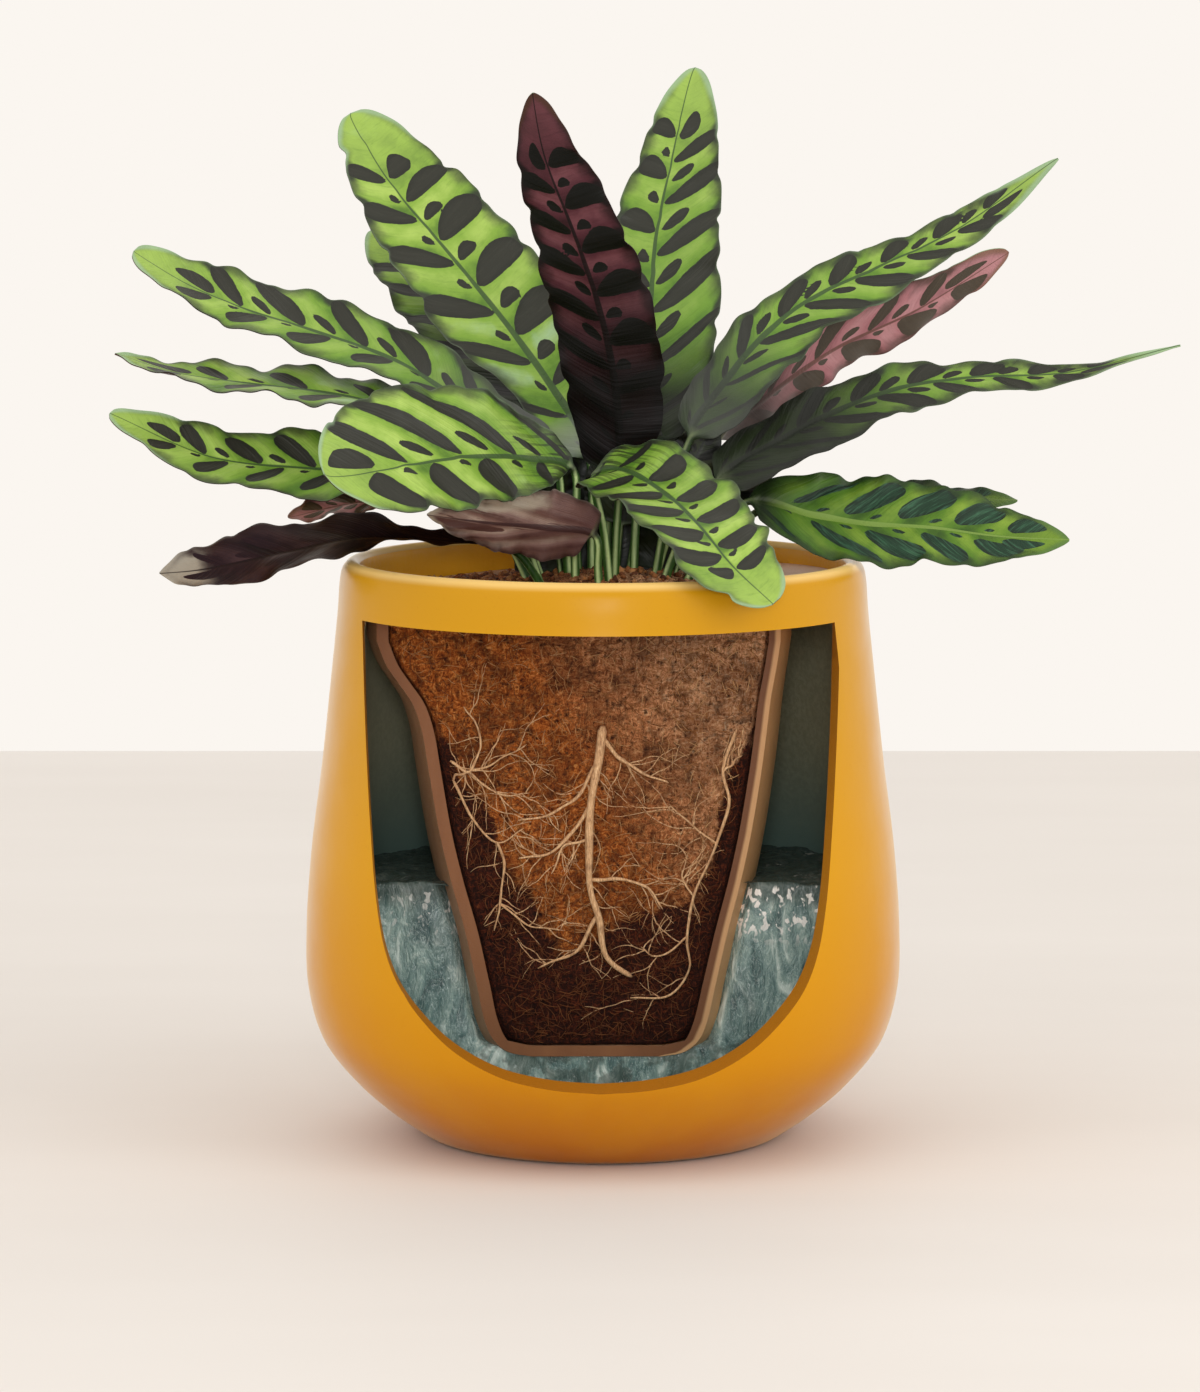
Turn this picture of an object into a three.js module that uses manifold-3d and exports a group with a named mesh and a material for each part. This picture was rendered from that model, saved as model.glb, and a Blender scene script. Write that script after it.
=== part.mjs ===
// A potted rattlesnake plant in a self-watering double pot, shown as a cutaway.
//
// Millimetres, +Z up, the camera side is -Y. The origin is the middle of the outer pot's foot, on the floor.
// The front of the outer pot has a U-shaped window, and everything inside it is cut by one upright plane,
// so the inner pot, the soil with its roots and the water are seen in section.

import * as THREE from 'three';
import { mergeVertices } from 'three/addons/utils/BufferGeometryUtils.js';
import Module from 'manifold-3d';

const wasm = await Module();
wasm.setup();

// Driving dimensions

const POT_HEIGHT = 215;
const POT_WALL = 8;
const POT_FLOOR = 10;
const POT_SEGMENTS = 40;
const RIM_INNER_RADIUS = 89.2;

const WINDOW_TOP = 196.5;
const SECTION_Y = -27;

const GAP = 0.3;

const INSERT_BASE = 33;
const INSERT_WALL = 4;
const INSERT_SEGMENTS = 32;
const PLATE_RADIUS = RIM_INNER_RADIUS - 0.6;
const PLATE_THICKNESS = 4;
const PLATE_TOP = 204.5;
const RIM_TILT = 4 / PLATE_RADIUS;
const FOOT_RADIUS = 6;
const FOOT_PLACES = [[-2.5, 28], [-26.5, -13], [21.5, -13]];
const FOOT_SIDES = 12;
const INSERT_FLOOR_RADIUS = 38;

const SOIL_SIDE_GAP = 1.4;
const SOIL_EDGE_TOP = 203;
const MOUND_HEIGHT = 6.5;
const MOUND_SPREAD = 30;
const CLOD_HEIGHT = 0.7;
const SOIL_SLOPE = 0.02;
const SOIL_RIM_GAP = 0.6;
const SOIL_BASE_RADIUS = 35;
const SOIL_RINGS = [1, 0.86, 0.68, 0.5, 0.32, 0.15];
const STEM_HOLE_GAP = 0.5;
const STEM_HOLE_SIDES = 8;

const WATER_LEVEL = 97;
const WAVE_HEIGHT = 1.4;
const POOL_RADIUS = 100.3;
const WAVE_RINGS = [1, 0.93, 0.86, 0.78, 0.7, 0.5];

const STEM_FOOT = 199;
const STEM_CLEAR = 211.5;
const STEM_BEND = 216;
const STEM_RADIUS_LOW = 1.7;
const STEM_RADIUS_HIGH = 1.35;
const STEM_STEPS = 6;
const BLADE_STEPS = 15;
const BLADE_THICKNESS = 0.8;
const BLADE_COLUMNS = 4;
const KEEL = 0.5;
const EDGE_WAVES = 4;
const EDGE_RIPPLE = 1.7;
const BLADE_FOLD = 0.14;

// Outer pot: outline of the outside, from the foot to the rim, as [radius, height]

const POT_OUTSIDE = [
  [63, 0], [71.5, 4.3], [80.6, 10.8], [92.5, 21.5], [104.1, 36.6], [110, 55.9], [110, 77.4],
  [108.1, 107.5], [104, 139.8], [100.5, 172], [97.1, 200], [96.8, 211], [95.1, 213.8], [92.6, POT_HEIGHT],
];
const POT_LIP = [[90.4, 214.2], [RIM_INNER_RADIUS, 212]];
const POT_INSIDE = [
  [RIM_INNER_RADIUS, 200], [100.5 - POT_WALL, 172], [104 - POT_WALL, 139.8], [108.1 - POT_WALL, 107.5],
  [110 - POT_WALL, 77.4], [110 - POT_WALL, 57], [104.1 - POT_WALL, 38.5], [92.5 - POT_WALL, 23],
  [78, 14.5], [68, POT_FLOOR],
];

// Window: half width at each height, the same on both sides, from the top corner to the lowest point

const WINDOW_HALF = [
  [85.5, WINDOW_TOP], [84.2, 160], [82.2, 125], [79.8, 98], [76.6, 81], [71.6, 69], [62.5, 57.8],
  [51.7, 48.6], [35.6, 40.6], [17.8, 36.8], [0, 35.5],
];

// Inner pot: [height, radius, how far the middle lies to the right] of each ring outside

const INSERT_OUTSIDE = [
  [INSERT_BASE, 36, -2.5], [34.6, 42, -2.5], [39, 46.4, -2.5], [46, 49, -2.6], [60, 51.6, -2.5],
  [80, 55.4, -2.4], [98, 59.6, -2.6], [116, 63.2, -2.8], [140, 66.8, -2.9], [154, 68.7, -3.2],
  [164, 70.8, -4.3], [171.5, 73.7, -6.2], [178, 76.3, -7.8], [187, 78.6, -8.9],
];
const INSERT_TOP_RADIUS = 78.6;
const INSERT_TOP_SHIFT = -8.9;

// Leaves. foot is where the stem leaves the soil, rib the midrib from the blade's base to its tip, face the
// direction of the upper face at the base and at the tip. width is the widest measure, full says how blunt
// the blade is at its base and at its tip.

const LEAVES = [
  { name: 'leaf_tall_left', foot: [-4, 7], width: 49, full: [0.6, 0.42],
    rib: [[-5, 11, 250], [-20, 21, 276], [-37, 32, 301], [-58, 43, 328], [-77, 54, 351], [-95, 64, 377]],
    face: [[0.1, -0.9, 0.3], [0.3, -0.85, 0.4]] },
  { name: 'leaf_behind_left', foot: [-9, 15], width: 40, full: [0.6, 0.45],
    rib: [[-12, 24, 248], [-33, 47, 276], [-53, 69, 298], [-70, 85, 315], [-88, 98, 332]],
    face: [[0.2, -0.8, 0.4], [0.3, -0.8, 0.5]] },
  { name: 'leaf_centre_purple', foot: [4, -5], width: 38, full: [0.5, 0.8],
    rib: [[6, -5, 255], [4, -12, 280], [-1, -22, 308], [-10, -36, 337], [-20, -47, 364], [-25, -56, 387]],
    face: [[0.05, 1, 0.1], [0.2, 0.8, 0.5]] },
  { name: 'leaf_tall_right', foot: [11, 5], width: 45, full: [0.6, 0.5],
    rib: [[14, 12, 255], [19, 24, 279], [22, 36, 304], [24, 48, 330], [29, 59, 359], [35, 70, 394]],
    face: [[-0.1, -0.95, 0.2], [-0.3, -0.9, 0.3]] },
  { name: 'leaf_upper_right', foot: [18, 2], width: 30, full: [0.5, 0.8],
    rib: [[32, 4, 258], [44, 9, 273], [58, 14, 290], [75, 18, 305], [103, 22, 319], [133, 26, 334],
      [169, 28, 361]],
    face: [[-0.4, -0.85, 0.35], [-0.3, -0.7, 0.6]] },
  { name: 'leaf_rose_right', foot: [17, 11], width: 27, full: [0.6, 0.5],
    rib: [[42, 17, 257], [64, 29, 275], [87, 40, 290], [118, 50, 304], [153, 60, 325]],
    face: [[-0.3, 0.75, 0.5], [-0.3, 0.85, 0.5]] },
  { name: 'leaf_long_right', foot: [20, -5], width: 31, full: [0.36, 1.2],
    rib: [[41, -3, 242], [67, 0, 257.5], [91, 3, 269.5], [111, 5, 276.5], [137, 6, 280.5], [171, 6, 282.5],
      [213, 6, 293]],
    face: [[-0.3, -0.6, 0.7], [-0.1, -0.7, 0.65]] },
  { name: 'leaf_low_right', foot: [27, -8], width: 39, full: [0.5, 0.72],
    rib: [[53, -4, 236], [78, -4, 231], [98, -6, 228], [120, -9, 227], [146, -13, 224], [171, -16, 223]],
    face: [[-0.1, -0.75, 0.65], [0, -0.8, 0.6]] },
  { name: 'leaf_small_right', foot: [26, 6], width: 17, full: [0.6, 0.6],
    rib: [[62, 15, 233], [92, 22, 235], [122, 27, 235], [155, 30, 233.5]],
    face: [[-0.1, -0.5, 0.8], [0, -0.5, 0.8]] },
  { name: 'leaf_upper_left', foot: [-12, 1], width: 34, full: [0.6, 0.4],
    rib: [[-19, 1, 253], [-46, 6, 269], [-75, 15, 287], [-105, 18, 298], [-131, 20, 306], [-153, 20, 315],
      [-174, 20, 327]],
    face: [[0.3, -0.6, 0.7], [0.2, -0.5, 0.8]] },
  { name: 'leaf_thin_left', foot: [-20, 2], width: 34, full: [0.6, 0.8],
    rib: [[-50, 0, 257], [-81, 1, 271], [-104, 3, 276], [-130, 4, 279], [-158, 5, 283], [-180, 5, 290]],
    face: [[0.2, -0.35, 0.95], [0.1, -0.2, 0.97]] },
  { name: 'leaf_front_left', foot: [-10, -12], width: 53, full: [0.9, 0.48],
    rib: [[-11, -14, 249], [-27, -27, 255.5], [-49, -45, 259], [-74, -65, 257.5], [-99, -85, 253]],
    face: [[-0.1, -0.85, 0.5], [-0.2, -0.95, 0.35]] },
  { name: 'leaf_mid_left', foot: [-21, -7], width: 38, full: [0.55, 0.45],
    rib: [[-42, -6, 245], [-62, -8, 247], [-86, -9, 248], [-111, -10, 249], [-144, -10, 253], [-181, -10, 269]],
    face: [[0.1, -0.6, 0.8], [0.2, -0.55, 0.8]] },
  { name: 'leaf_drooping_left', foot: [-19, -16], width: 30, full: [1, 0.8],
    rib: [[-33, -14, 219], [-60, -12, 223], [-89, -12, 224], [-119, -12, 218], [-148, -12, 212], [-163, -12, 210.5]],
    face: [[0, 0.1, 1], [0, 0.9, 0.4]] },
  { name: 'leaf_small_left', foot: [-25, 9], width: 22, full: [0.6, 0.55],
    rib: [[-48, 13, 236], [-70, 15, 237], [-95, 14, 234], [-117, 12, 229]],
    face: [[0, 0.5, 0.8], [0, 0.6, 0.8]] },
  { name: 'leaf_front_mauve', foot: [-1, -24], width: 28, full: [0.4, 0.75],
    rib: [[-3, -28, 226], [-21, -29, 229], [-42, -31, 231], [-64, -33, 234]],
    face: [[0.1, 0.9, 0.35], [0.1, 0.9, 0.35]] },
  { name: 'leaf_front_right', foot: [3, -15], width: 46, full: [0.35, 0.42],
    rib: [[-3, -20, 247], [7, -31, 250], [23, -50, 242.5], [34.5, -70, 233], [46, -84, 220], [60, -94, 207.5]],
    face: [[0.1, -0.6, 0.8], [0.5, -0.8, 0.4]] },
  { name: 'leaf_back_right', foot: [9, 19], width: 40, full: [0.55, 0.5],
    rib: [[18, 38, 246], [28, 66, 263], [38, 95, 273], [48, 123, 274], [57, 150, 268]],
    face: [[-0.2, -0.7, 0.6], [0.1, 0.2, 0.95]] },
  { name: 'leaf_back_left', foot: [-9, 25], width: 38, full: [0.55, 0.5],
    rib: [[-16, 42, 240], [-26, 70, 252], [-36, 98, 259], [-45, 124, 260], [-52, 150, 254]],
    face: [[0.2, -0.7, 0.6], [-0.1, 0.2, 0.95]] },
  { name: 'leaf_back_centre', foot: [1, 13], width: 42, full: [0.55, 0.45],
    rib: [[3, 30, 257], [5, 60, 283], [6, 92, 302], [6, 124, 312], [5, 156, 312]],
    face: [[0, -0.8, 0.5], [0, -0.1, 1]] },
];

// Roots: each system is a list of [points, radius at the start, radius at the end], a point being [x, z] on
// the cut face of the soil

const ROOTS = {
  roots_centre: [
    [[[0, 156], [-1.8, 143], [-4, 128], [-5.5, 114], [-4.8, 99], [-1.8, 86], [-0.4, 75], [3.3, 68], [10.7, 63]],
      1.7, 0.9],
    [[[-0.5, 152], [5, 145], [14, 139], [24, 135]], 0.9, 0.6],
    [[[-1.8, 143], [-9, 131], [-17, 124], [-31, 121]], 0.9, 0.6],
    [[[-4, 128], [-12, 115], [-23, 108], [-31, 107]], 0.9, 0.6],
    [[[-5.5, 114], [-14, 111], [-19, 101]], 0.8, 0.55],
    [[[-4.8, 99], [4, 99], [15, 97], [22, 88]], 0.9, 0.6],
    [[[-1.8, 86], [-10, 73], [-24, 66]], 0.9, 0.55],
  ],
  roots_left: [
    [[[-56, 143], [-49, 139], [-45, 147], [-47, 157], [-51, 163]], 1.0, 0.6],
    [[[-49, 139], [-38, 143], [-28, 149]], 0.8, 0.55],
    [[[-49, 139], [-39, 131], [-27, 131]], 0.8, 0.55],
    [[[-55, 136], [-48, 122], [-39, 113], [-29, 118]], 0.9, 0.6],
    [[[-49, 139], [-53, 138], [-55, 136]], 0.9, 0.9],
    [[[-39, 113], [-36, 104], [-38, 90], [-40, 80]], 0.9, 0.7],
    [[[-38, 90], [-27, 82], [-14, 80]], 0.8, 0.55],
  ],
  roots_right: [
    [[[49, 155], [44, 139], [46, 128], [42, 112], [33, 93], [31, 78], [32, 66], [24, 56], [10, 55]], 1.1, 0.7],
    [[[44, 139], [47, 142], [51, 145]], 0.8, 0.6],
    [[[33, 93], [29, 101], [31, 108]], 0.8, 0.55],
    [[[31, 78], [20, 70], [14, 74]], 0.8, 0.55],
    [[[42, 112], [33, 119], [24, 127]], 0.8, 0.55],
  ],
};
const ROOT_SIDES = 4;

// Helpers for solids

function weld(geometry) {
  const bare = geometry.clone();
  bare.deleteAttribute('normal');
  bare.deleteAttribute('uv');
  const merged = mergeVertices(bare, 1e-4);
  const index = Array.from(merged.index.array);
  const kept = [];
  for (let i = 0; i < index.length; i += 3) {
    const [a, b, c] = index.slice(i, i + 3);
    if (a !== b && b !== c && c !== a) {
      kept.push(a, b, c);
    }
  }
  merged.setIndex(kept);
  return turnOut(merged);
}

function signedVolume(geometry) {
  const place = geometry.attributes.position;
  const index = geometry.index.array;
  const corners = [new THREE.Vector3(), new THREE.Vector3(), new THREE.Vector3()];
  let sum = 0;
  for (let i = 0; i < index.length; i += 3) {
    corners.forEach((corner, k) => corner.fromBufferAttribute(place, index[i + k]));
    sum += corners[0].dot(corners[1].clone().cross(corners[2]));
  }
  return sum / 6;
}

function turnOut(geometry) {
  if (signedVolume(geometry) > 0) {
    return geometry;
  }
  const index = Array.from(geometry.index.array);
  for (let i = 0; i < index.length; i += 3) {
    [index[i + 1], index[i + 2]] = [index[i + 2], index[i + 1]];
  }
  geometry.setIndex(index);
  return geometry;
}

function toSolid(geometry) {
  const welded = weld(geometry);
  return new wasm.Manifold(new wasm.Mesh({
    numProp: 3,
    vertProperties: Float32Array.from(welded.attributes.position.array),
    triVerts: Uint32Array.from(welded.index.array),
  }));
}

function toGeometry(solid) {
  const mesh = solid.getMesh();
  const geometry = new THREE.BufferGeometry();
  geometry.setAttribute('position', new THREE.BufferAttribute(mesh.vertProperties.slice(), mesh.numProp));
  geometry.setIndex(Array.from(mesh.triVerts));
  return geometry;
}

function joinAll(solids) {
  return solids.reduce((whole, solid) => whole.add(solid));
}

// A closed skin through rings of points, each ring with the same number of points. The first and the last
// ring are closed with a fan to their middle.

function skin(rings) {
  const count = rings[0].length;
  const points = rings.flat();
  const index = [];
  rings.slice(1).forEach((_, r) => {
    for (let i = 0; i < count; i += 1) {
      const low = r * count + i;
      const next = r * count + ((i + 1) % count);
      index.push(low, next, low + count, next, next + count, low + count);
    }
  });
  const bottom = points.length;
  const top = bottom + 1;
  const lastRing = (rings.length - 1) * count;
  points.push(middleOf(rings[0]), middleOf(rings[rings.length - 1]));
  for (let i = 0; i < count; i += 1) {
    const next = (i + 1) % count;
    index.push(bottom, next, i);
    index.push(top, lastRing + i, lastRing + next);
  }
  const geometry = new THREE.BufferGeometry().setFromPoints(points);
  geometry.setIndex(index);
  return turnOut(geometry);
}

function middleOf(points) {
  const sum = new THREE.Vector3();
  points.forEach((point) => sum.add(point));
  return sum.divideScalar(points.length);
}

function flatRing(height, radius, shift, segments, tilt = 0) {
  return Array.from({ length: segments }, (_, i) => {
    const angle = (i / segments) * Math.PI * 2;
    const x = shift + Math.cos(angle) * radius;
    return new THREE.Vector3(x, Math.sin(angle) * radius, height + tilt * x);
  });
}

function box(low, high) {
  const size = high.map((value, i) => value - low[i]);
  const middle = high.map((value, i) => (value + low[i]) / 2);
  return toSolid(new THREE.BoxGeometry(...size).translate(...middle));
}

function uprightCylinder(x, y, low, high, radius, sides) {
  const geometry = new THREE.CylinderGeometry(radius, radius, high - low, sides);
  geometry.rotateX(Math.PI / 2).translate(x, y, (low + high) / 2);
  return toSolid(geometry);
}

function seededRandom(seed) {
  let state = seed;
  return () => {
    state = (state * 1664525 + 1013904223) % 4294967296;
    return state / 4294967296;
  };
}

// The space that the section takes away in front of the cut plane, under the whole top of the pot

function sectionSpace() {
  const reach = 130;
  return box([-reach, -reach, -5], [reach, SECTION_Y, WINDOW_TOP + 0.5]);
}

// Outer pot

function lathe(outline, segments) {
  const profile = outline.map(([radius, height]) => new THREE.Vector2(radius, height));
  return toSolid(new THREE.LatheGeometry(profile, segments).rotateX(Math.PI / 2));
}

function windowSpace() {
  const right = WINDOW_HALF.map(([half, height]) => new THREE.Vector2(half, height));
  const left = WINDOW_HALF.slice(0, -1).reverse().map(([half, height]) => new THREE.Vector2(-half, height));
  const outline = new THREE.Shape([...right, ...left]);
  const depth = 110;
  const prism = new THREE.ExtrudeGeometry(outline, { depth, bevelEnabled: false, steps: 1 });
  prism.rotateX(Math.PI / 2).translate(0, SECTION_Y + 4, 0);
  return toSolid(prism);
}

function outerPot() {
  const outline = [[0, 0], ...POT_OUTSIDE, ...POT_LIP, ...POT_INSIDE, [0, POT_FLOOR]];
  return lathe(outline, POT_SEGMENTS).subtract(windowSpace());
}

// Inner pot, with its flat crescent plate and three feet

function insertRings(grow) {
  return INSERT_OUTSIDE.map(([height, radius, shift]) => (
    flatRing(height, radius + grow, shift, INSERT_SEGMENTS)
  ));
}

function innerPot() {
  const outside = insertRings(0);
  const plate = [
    flatRing(PLATE_TOP - PLATE_THICKNESS, INSERT_TOP_RADIUS, INSERT_TOP_SHIFT, INSERT_SEGMENTS, RIM_TILT),
    flatRing(PLATE_TOP - PLATE_THICKNESS, PLATE_RADIUS, 0, INSERT_SEGMENTS, RIM_TILT),
    flatRing(PLATE_TOP, PLATE_RADIUS, 0, INSERT_SEGMENTS, RIM_TILT),
    flatRing(PLATE_TOP, INSERT_TOP_RADIUS - INSERT_WALL, INSERT_TOP_SHIFT, INSERT_SEGMENTS, RIM_TILT),
  ];
  const inside = insertRings(-INSERT_WALL).slice(2).reverse();
  const [, , baseShift] = INSERT_OUTSIDE[0];
  const floor = flatRing(INSERT_BASE + INSERT_WALL, INSERT_FLOOR_RADIUS, baseShift, INSERT_SEGMENTS);
  const shell = toSolid(skin([...outside, ...plate, ...inside, floor]));
  const feet = FOOT_PLACES.map(([x, y]) => (
    uprightCylinder(x, y, POT_FLOOR + GAP, INSERT_BASE + INSERT_WALL / 2, FOOT_RADIUS, FOOT_SIDES)
  ));
  return joinAll([shell.subtract(sectionSpace()), ...feet]);
}

// Soil, a little clear of the inner pot, with a mound round the stems and a hole for each stem

function soilTop(x, y) {
  const mound = MOUND_HEIGHT * Math.exp(-(x * x + y * y) / (2 * MOUND_SPREAD * MOUND_SPREAD));
  return SOIL_EDGE_TOP + SOIL_SLOPE * x + mound;
}

function soil() {
  const random = seededRandom(7);
  const sides = INSERT_OUTSIDE.slice(3).map(([height, radius, shift]) => (
    flatRing(height, radius - INSERT_WALL - SOIL_SIDE_GAP, shift, INSERT_SEGMENTS)
  ));
  const [, , baseShift] = INSERT_OUTSIDE[0];
  const base = flatRing(INSERT_BASE + INSERT_WALL + GAP, SOIL_BASE_RADIUS, baseShift, INSERT_SEGMENTS);
  const rim = INSERT_TOP_RADIUS - INSERT_WALL - SOIL_RIM_GAP;
  const top = SOIL_RINGS.map((part) => {
    const ring = flatRing(0, rim * part, INSERT_TOP_SHIFT * part, INSERT_SEGMENTS);
    ring.forEach((point) => {
      point.z = soilTop(point.x, point.y) + CLOD_HEIGHT * (random() - 0.5);
    });
    return ring;
  });
  const block = toSolid(skin([base, ...sides, ...top]));
  const holes = LEAVES.map(({ foot: [x, y] }) => (
    uprightCylinder(x, y, STEM_FOOT - GAP, POT_HEIGHT, STEM_RADIUS_LOW + STEM_HOLE_GAP, STEM_HOLE_SIDES)
  ));
  return block.subtract(sectionSpace()).subtract(joinAll(holes));
}

// Water in the space between the two pots

function water() {
  const random = seededRandom(3);
  const inside = [...POT_INSIDE].reverse().filter(([, height]) => height < WATER_LEVEL);
  const wall = inside.map(([radius, height]) => (
    flatRing(height + GAP, radius - 2 * GAP, 0, POT_SEGMENTS)
  ));
  const surface = WAVE_RINGS.map((part, i) => {
    const ring = flatRing(WATER_LEVEL, POOL_RADIUS * part, 0, POT_SEGMENTS);
    const height = i === 0 ? 0 : WAVE_HEIGHT;
    ring.forEach((point) => {
      point.z += height * (random() - 0.5);
    });
    return ring;
  });
  const pool = toSolid(skin([...wall, ...surface]));
  const clear = toSolid(skin(insertRings(GAP).map((ring) => ring.map((point) => (
    point.clone().setZ(point.z - GAP)
  )))));
  const feet = FOOT_PLACES.map(([x, y]) => (
    uprightCylinder(x, y, 0, INSERT_BASE + INSERT_WALL, FOOT_RADIUS + GAP, FOOT_SIDES)
  ));
  return pool.subtract(joinAll([clear, ...feet])).subtract(sectionSpace());
}

// Roots

function rootTube([points, startRadius, endRadius]) {
  const depth = SECTION_Y - GAP - startRadius;
  const curve = new THREE.CatmullRomCurve3(points.map(([x, z]) => new THREE.Vector3(x, depth, z)));
  const steps = points.length * 2;
  const rings = [];
  for (let i = 0; i <= steps; i += 1) {
    const along = i / steps;
    const middle = curve.getPoint(along);
    const tangent = curve.getTangent(along);
    const side = new THREE.Vector3(0, 1, 0).cross(tangent).normalize();
    const radius = startRadius + (endRadius - startRadius) * along;
    rings.push(Array.from({ length: ROOT_SIDES }, (_, k) => {
      const angle = (k / ROOT_SIDES) * Math.PI * 2;
      const point = middle.clone().addScaledVector(side, Math.cos(angle) * radius);
      point.y += Math.sin(angle) * radius;
      return point;
    }));
  }
  return toSolid(skin(rings));
}

function rootSystem(branches) {
  return joinAll(branches.map(rootTube));
}

// Leaves: one closed skin for each, round along the stem and flat along the blade

function bladeWidth(along, full) {
  const [baseFull, tipFull] = full;
  const widest = baseFull / (baseFull + tipFull);
  const shape = (s) => Math.pow(s, baseFull) * Math.pow(1 - s, tipFull);
  return shape(along) / shape(widest);
}

function leafRing(station, leaf, wave) {
  const { middle, side, face, stem, along } = station;
  const half = stem < 0 ? 0 : Math.max((leaf.width / 2) * bladeWidth(along, leaf.full), 0.7);
  const flatness = stem < 0 ? 0 : Math.min(along / 0.1, 1);
  const ripple = EDGE_RIPPLE * Math.sqrt(Math.max(Math.sin(Math.PI * along), 0));
  const radius = STEM_RADIUS_HIGH + (STEM_RADIUS_LOW - STEM_RADIUS_HIGH) * Math.max(-stem, 0);
  const row = (isTop) => Array.from({ length: BLADE_COLUMNS + 1 }, (_, column) => {
    const across = (2 * column) / BLADE_COLUMNS - 1;
    const turn = Math.PI * (1 - (column + 0.5) / (BLADE_COLUMNS + 1));
    const round = [Math.cos(turn) * radius, Math.sin(turn) * radius * (isTop ? 1 : -1)];
    const phase = 2 * Math.PI * EDGE_WAVES * along + wave + (across > 0 ? 2.1 : 0);
    const lift = BLADE_FOLD * Math.abs(across) * half + ripple * across * across * Math.sin(phase);
    const keel = !isTop && across === 0 ? KEEL * (1 - along) : 0;
    const thin = [across * half, lift + (BLADE_THICKNESS / 2) * (isTop ? 1 : -1) - keel];
    return middle.clone()
      .addScaledVector(side, THREE.MathUtils.lerp(round[0], thin[0], flatness))
      .addScaledVector(face, THREE.MathUtils.lerp(round[1], thin[1], flatness));
  });
  return [...row(true), ...row(false).reverse()];
}

function leafStations(leaf) {
  const [footX, footY] = leaf.foot;
  const upright = [STEM_FOOT, STEM_CLEAR, STEM_BEND].map((height) => [footX, footY, height]);
  const points = [...upright, ...leaf.rib];
  const curve = new THREE.CatmullRomCurve3(points.map((point) => new THREE.Vector3(...point)));
  const bladeStart = upright.length / (points.length - 1);
  const [baseFace, tipFace] = leaf.face.map((face) => new THREE.Vector3(...face));
  const stations = [];
  for (let i = 0; i <= STEM_STEPS + BLADE_STEPS; i += 1) {
    const stem = i / STEM_STEPS - 1;
    const along = Math.max((i - STEM_STEPS) / BLADE_STEPS, 0);
    const t = stem < 0 ? (i / STEM_STEPS) * bladeStart : bladeStart + (1 - bladeStart) * along;
    const tangent = curve.getTangent(t);
    const face = baseFace.clone().lerp(tipFace, along);
    face.addScaledVector(tangent, -face.dot(tangent)).normalize();
    const side = tangent.clone().cross(face).normalize();
    stations.push({ middle: curve.getPoint(t), side, face, stem, along });
  }
  return stations;
}

function leafSkin(leaf, wave) {
  const rings = leafStations(leaf).map((station) => leafRing(station, leaf, wave));
  const count = rings[0].length;
  const columns = BLADE_COLUMNS;
  const index = [];
  const quad = (a, b, c, d) => index.push(a, b, c, a, c, d);
  for (let r = 0; r + 1 < rings.length; r += 1) {
    const low = r * count;
    const high = low + count;
    for (let k = 0; k < columns; k += 1) {
      const top = [low + k, low + k + 1, high + k + 1, high + k];
      const under = top.map((value) => (value < high ? 2 * low : 2 * high) + count - 1 - value);
      quad(top[0], top[1], top[2], top[3]);
      index.push(under[0], under[2], under[1], under[0], under[3], under[2]);
    }
    quad(low + columns, low + columns + 1, high + columns + 1, high + columns);
    quad(low + count - 1, low, high, high + count - 1);
  }
  const last = (rings.length - 1) * count;
  for (let k = 0; k < columns; k += 1) {
    quad(k, count - 1 - k, count - 2 - k, k + 1);
    quad(last + k, last + k + 1, last + count - 2 - k, last + count - 1 - k);
  }
  const geometry = new THREE.BufferGeometry().setFromPoints(rings.flat());
  geometry.setIndex(index);
  return turnOut(geometry);
}

// Materials

const glaze = new THREE.MeshStandardMaterial({ color: 0xd69a2c, roughness: 0.3, metalness: 0 });
const clay = new THREE.MeshStandardMaterial({ color: 0x674026, roughness: 0.6, metalness: 0 });
const earth = new THREE.MeshStandardMaterial({ color: 0x6a3d22, roughness: 0.95, metalness: 0 });
const waterTone = new THREE.MeshStandardMaterial({ color: 0x6b7e77, roughness: 0.15, metalness: 0 });
const rootSkin = new THREE.MeshStandardMaterial({ color: 0xb08a66, roughness: 0.8, metalness: 0 });
const leafGreen = new THREE.MeshStandardMaterial({ color: 0x8fb04e, roughness: 0.5, metalness: 0 });

// The whole plant

const plant = new THREE.Group();

function place(name, geometry, material) {
  const mesh = new THREE.Mesh(geometry, material.clone());
  mesh.name = name;
  plant.add(mesh);
}

place('outer_pot', toGeometry(outerPot()), glaze);
place('inner_pot', toGeometry(innerPot()), clay);
place('soil', toGeometry(soil()), earth);
place('water', toGeometry(water()), waterTone);
Object.entries(ROOTS).forEach(([name, branches]) => place(name, toGeometry(rootSystem(branches)), rootSkin));
LEAVES.forEach((leaf, i) => place(leaf.name, leafSkin(leaf, i * 1.3), leafGreen));

export default plant;
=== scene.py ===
# A potted rattlesnake plant in a self-watering double pot, shown as a cutaway.
#
# Sizes are in millimetres in the object's own frame: +Z up, the camera side is -Y, and the origin is the
# middle of the outer pot's foot, on the floor. Meshes are in metres, colours screen values from 0 to 255.

import math
import random
from functools import partialmethod

import bmesh
import bpy
import numpy as np
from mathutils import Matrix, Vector, noise


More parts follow.
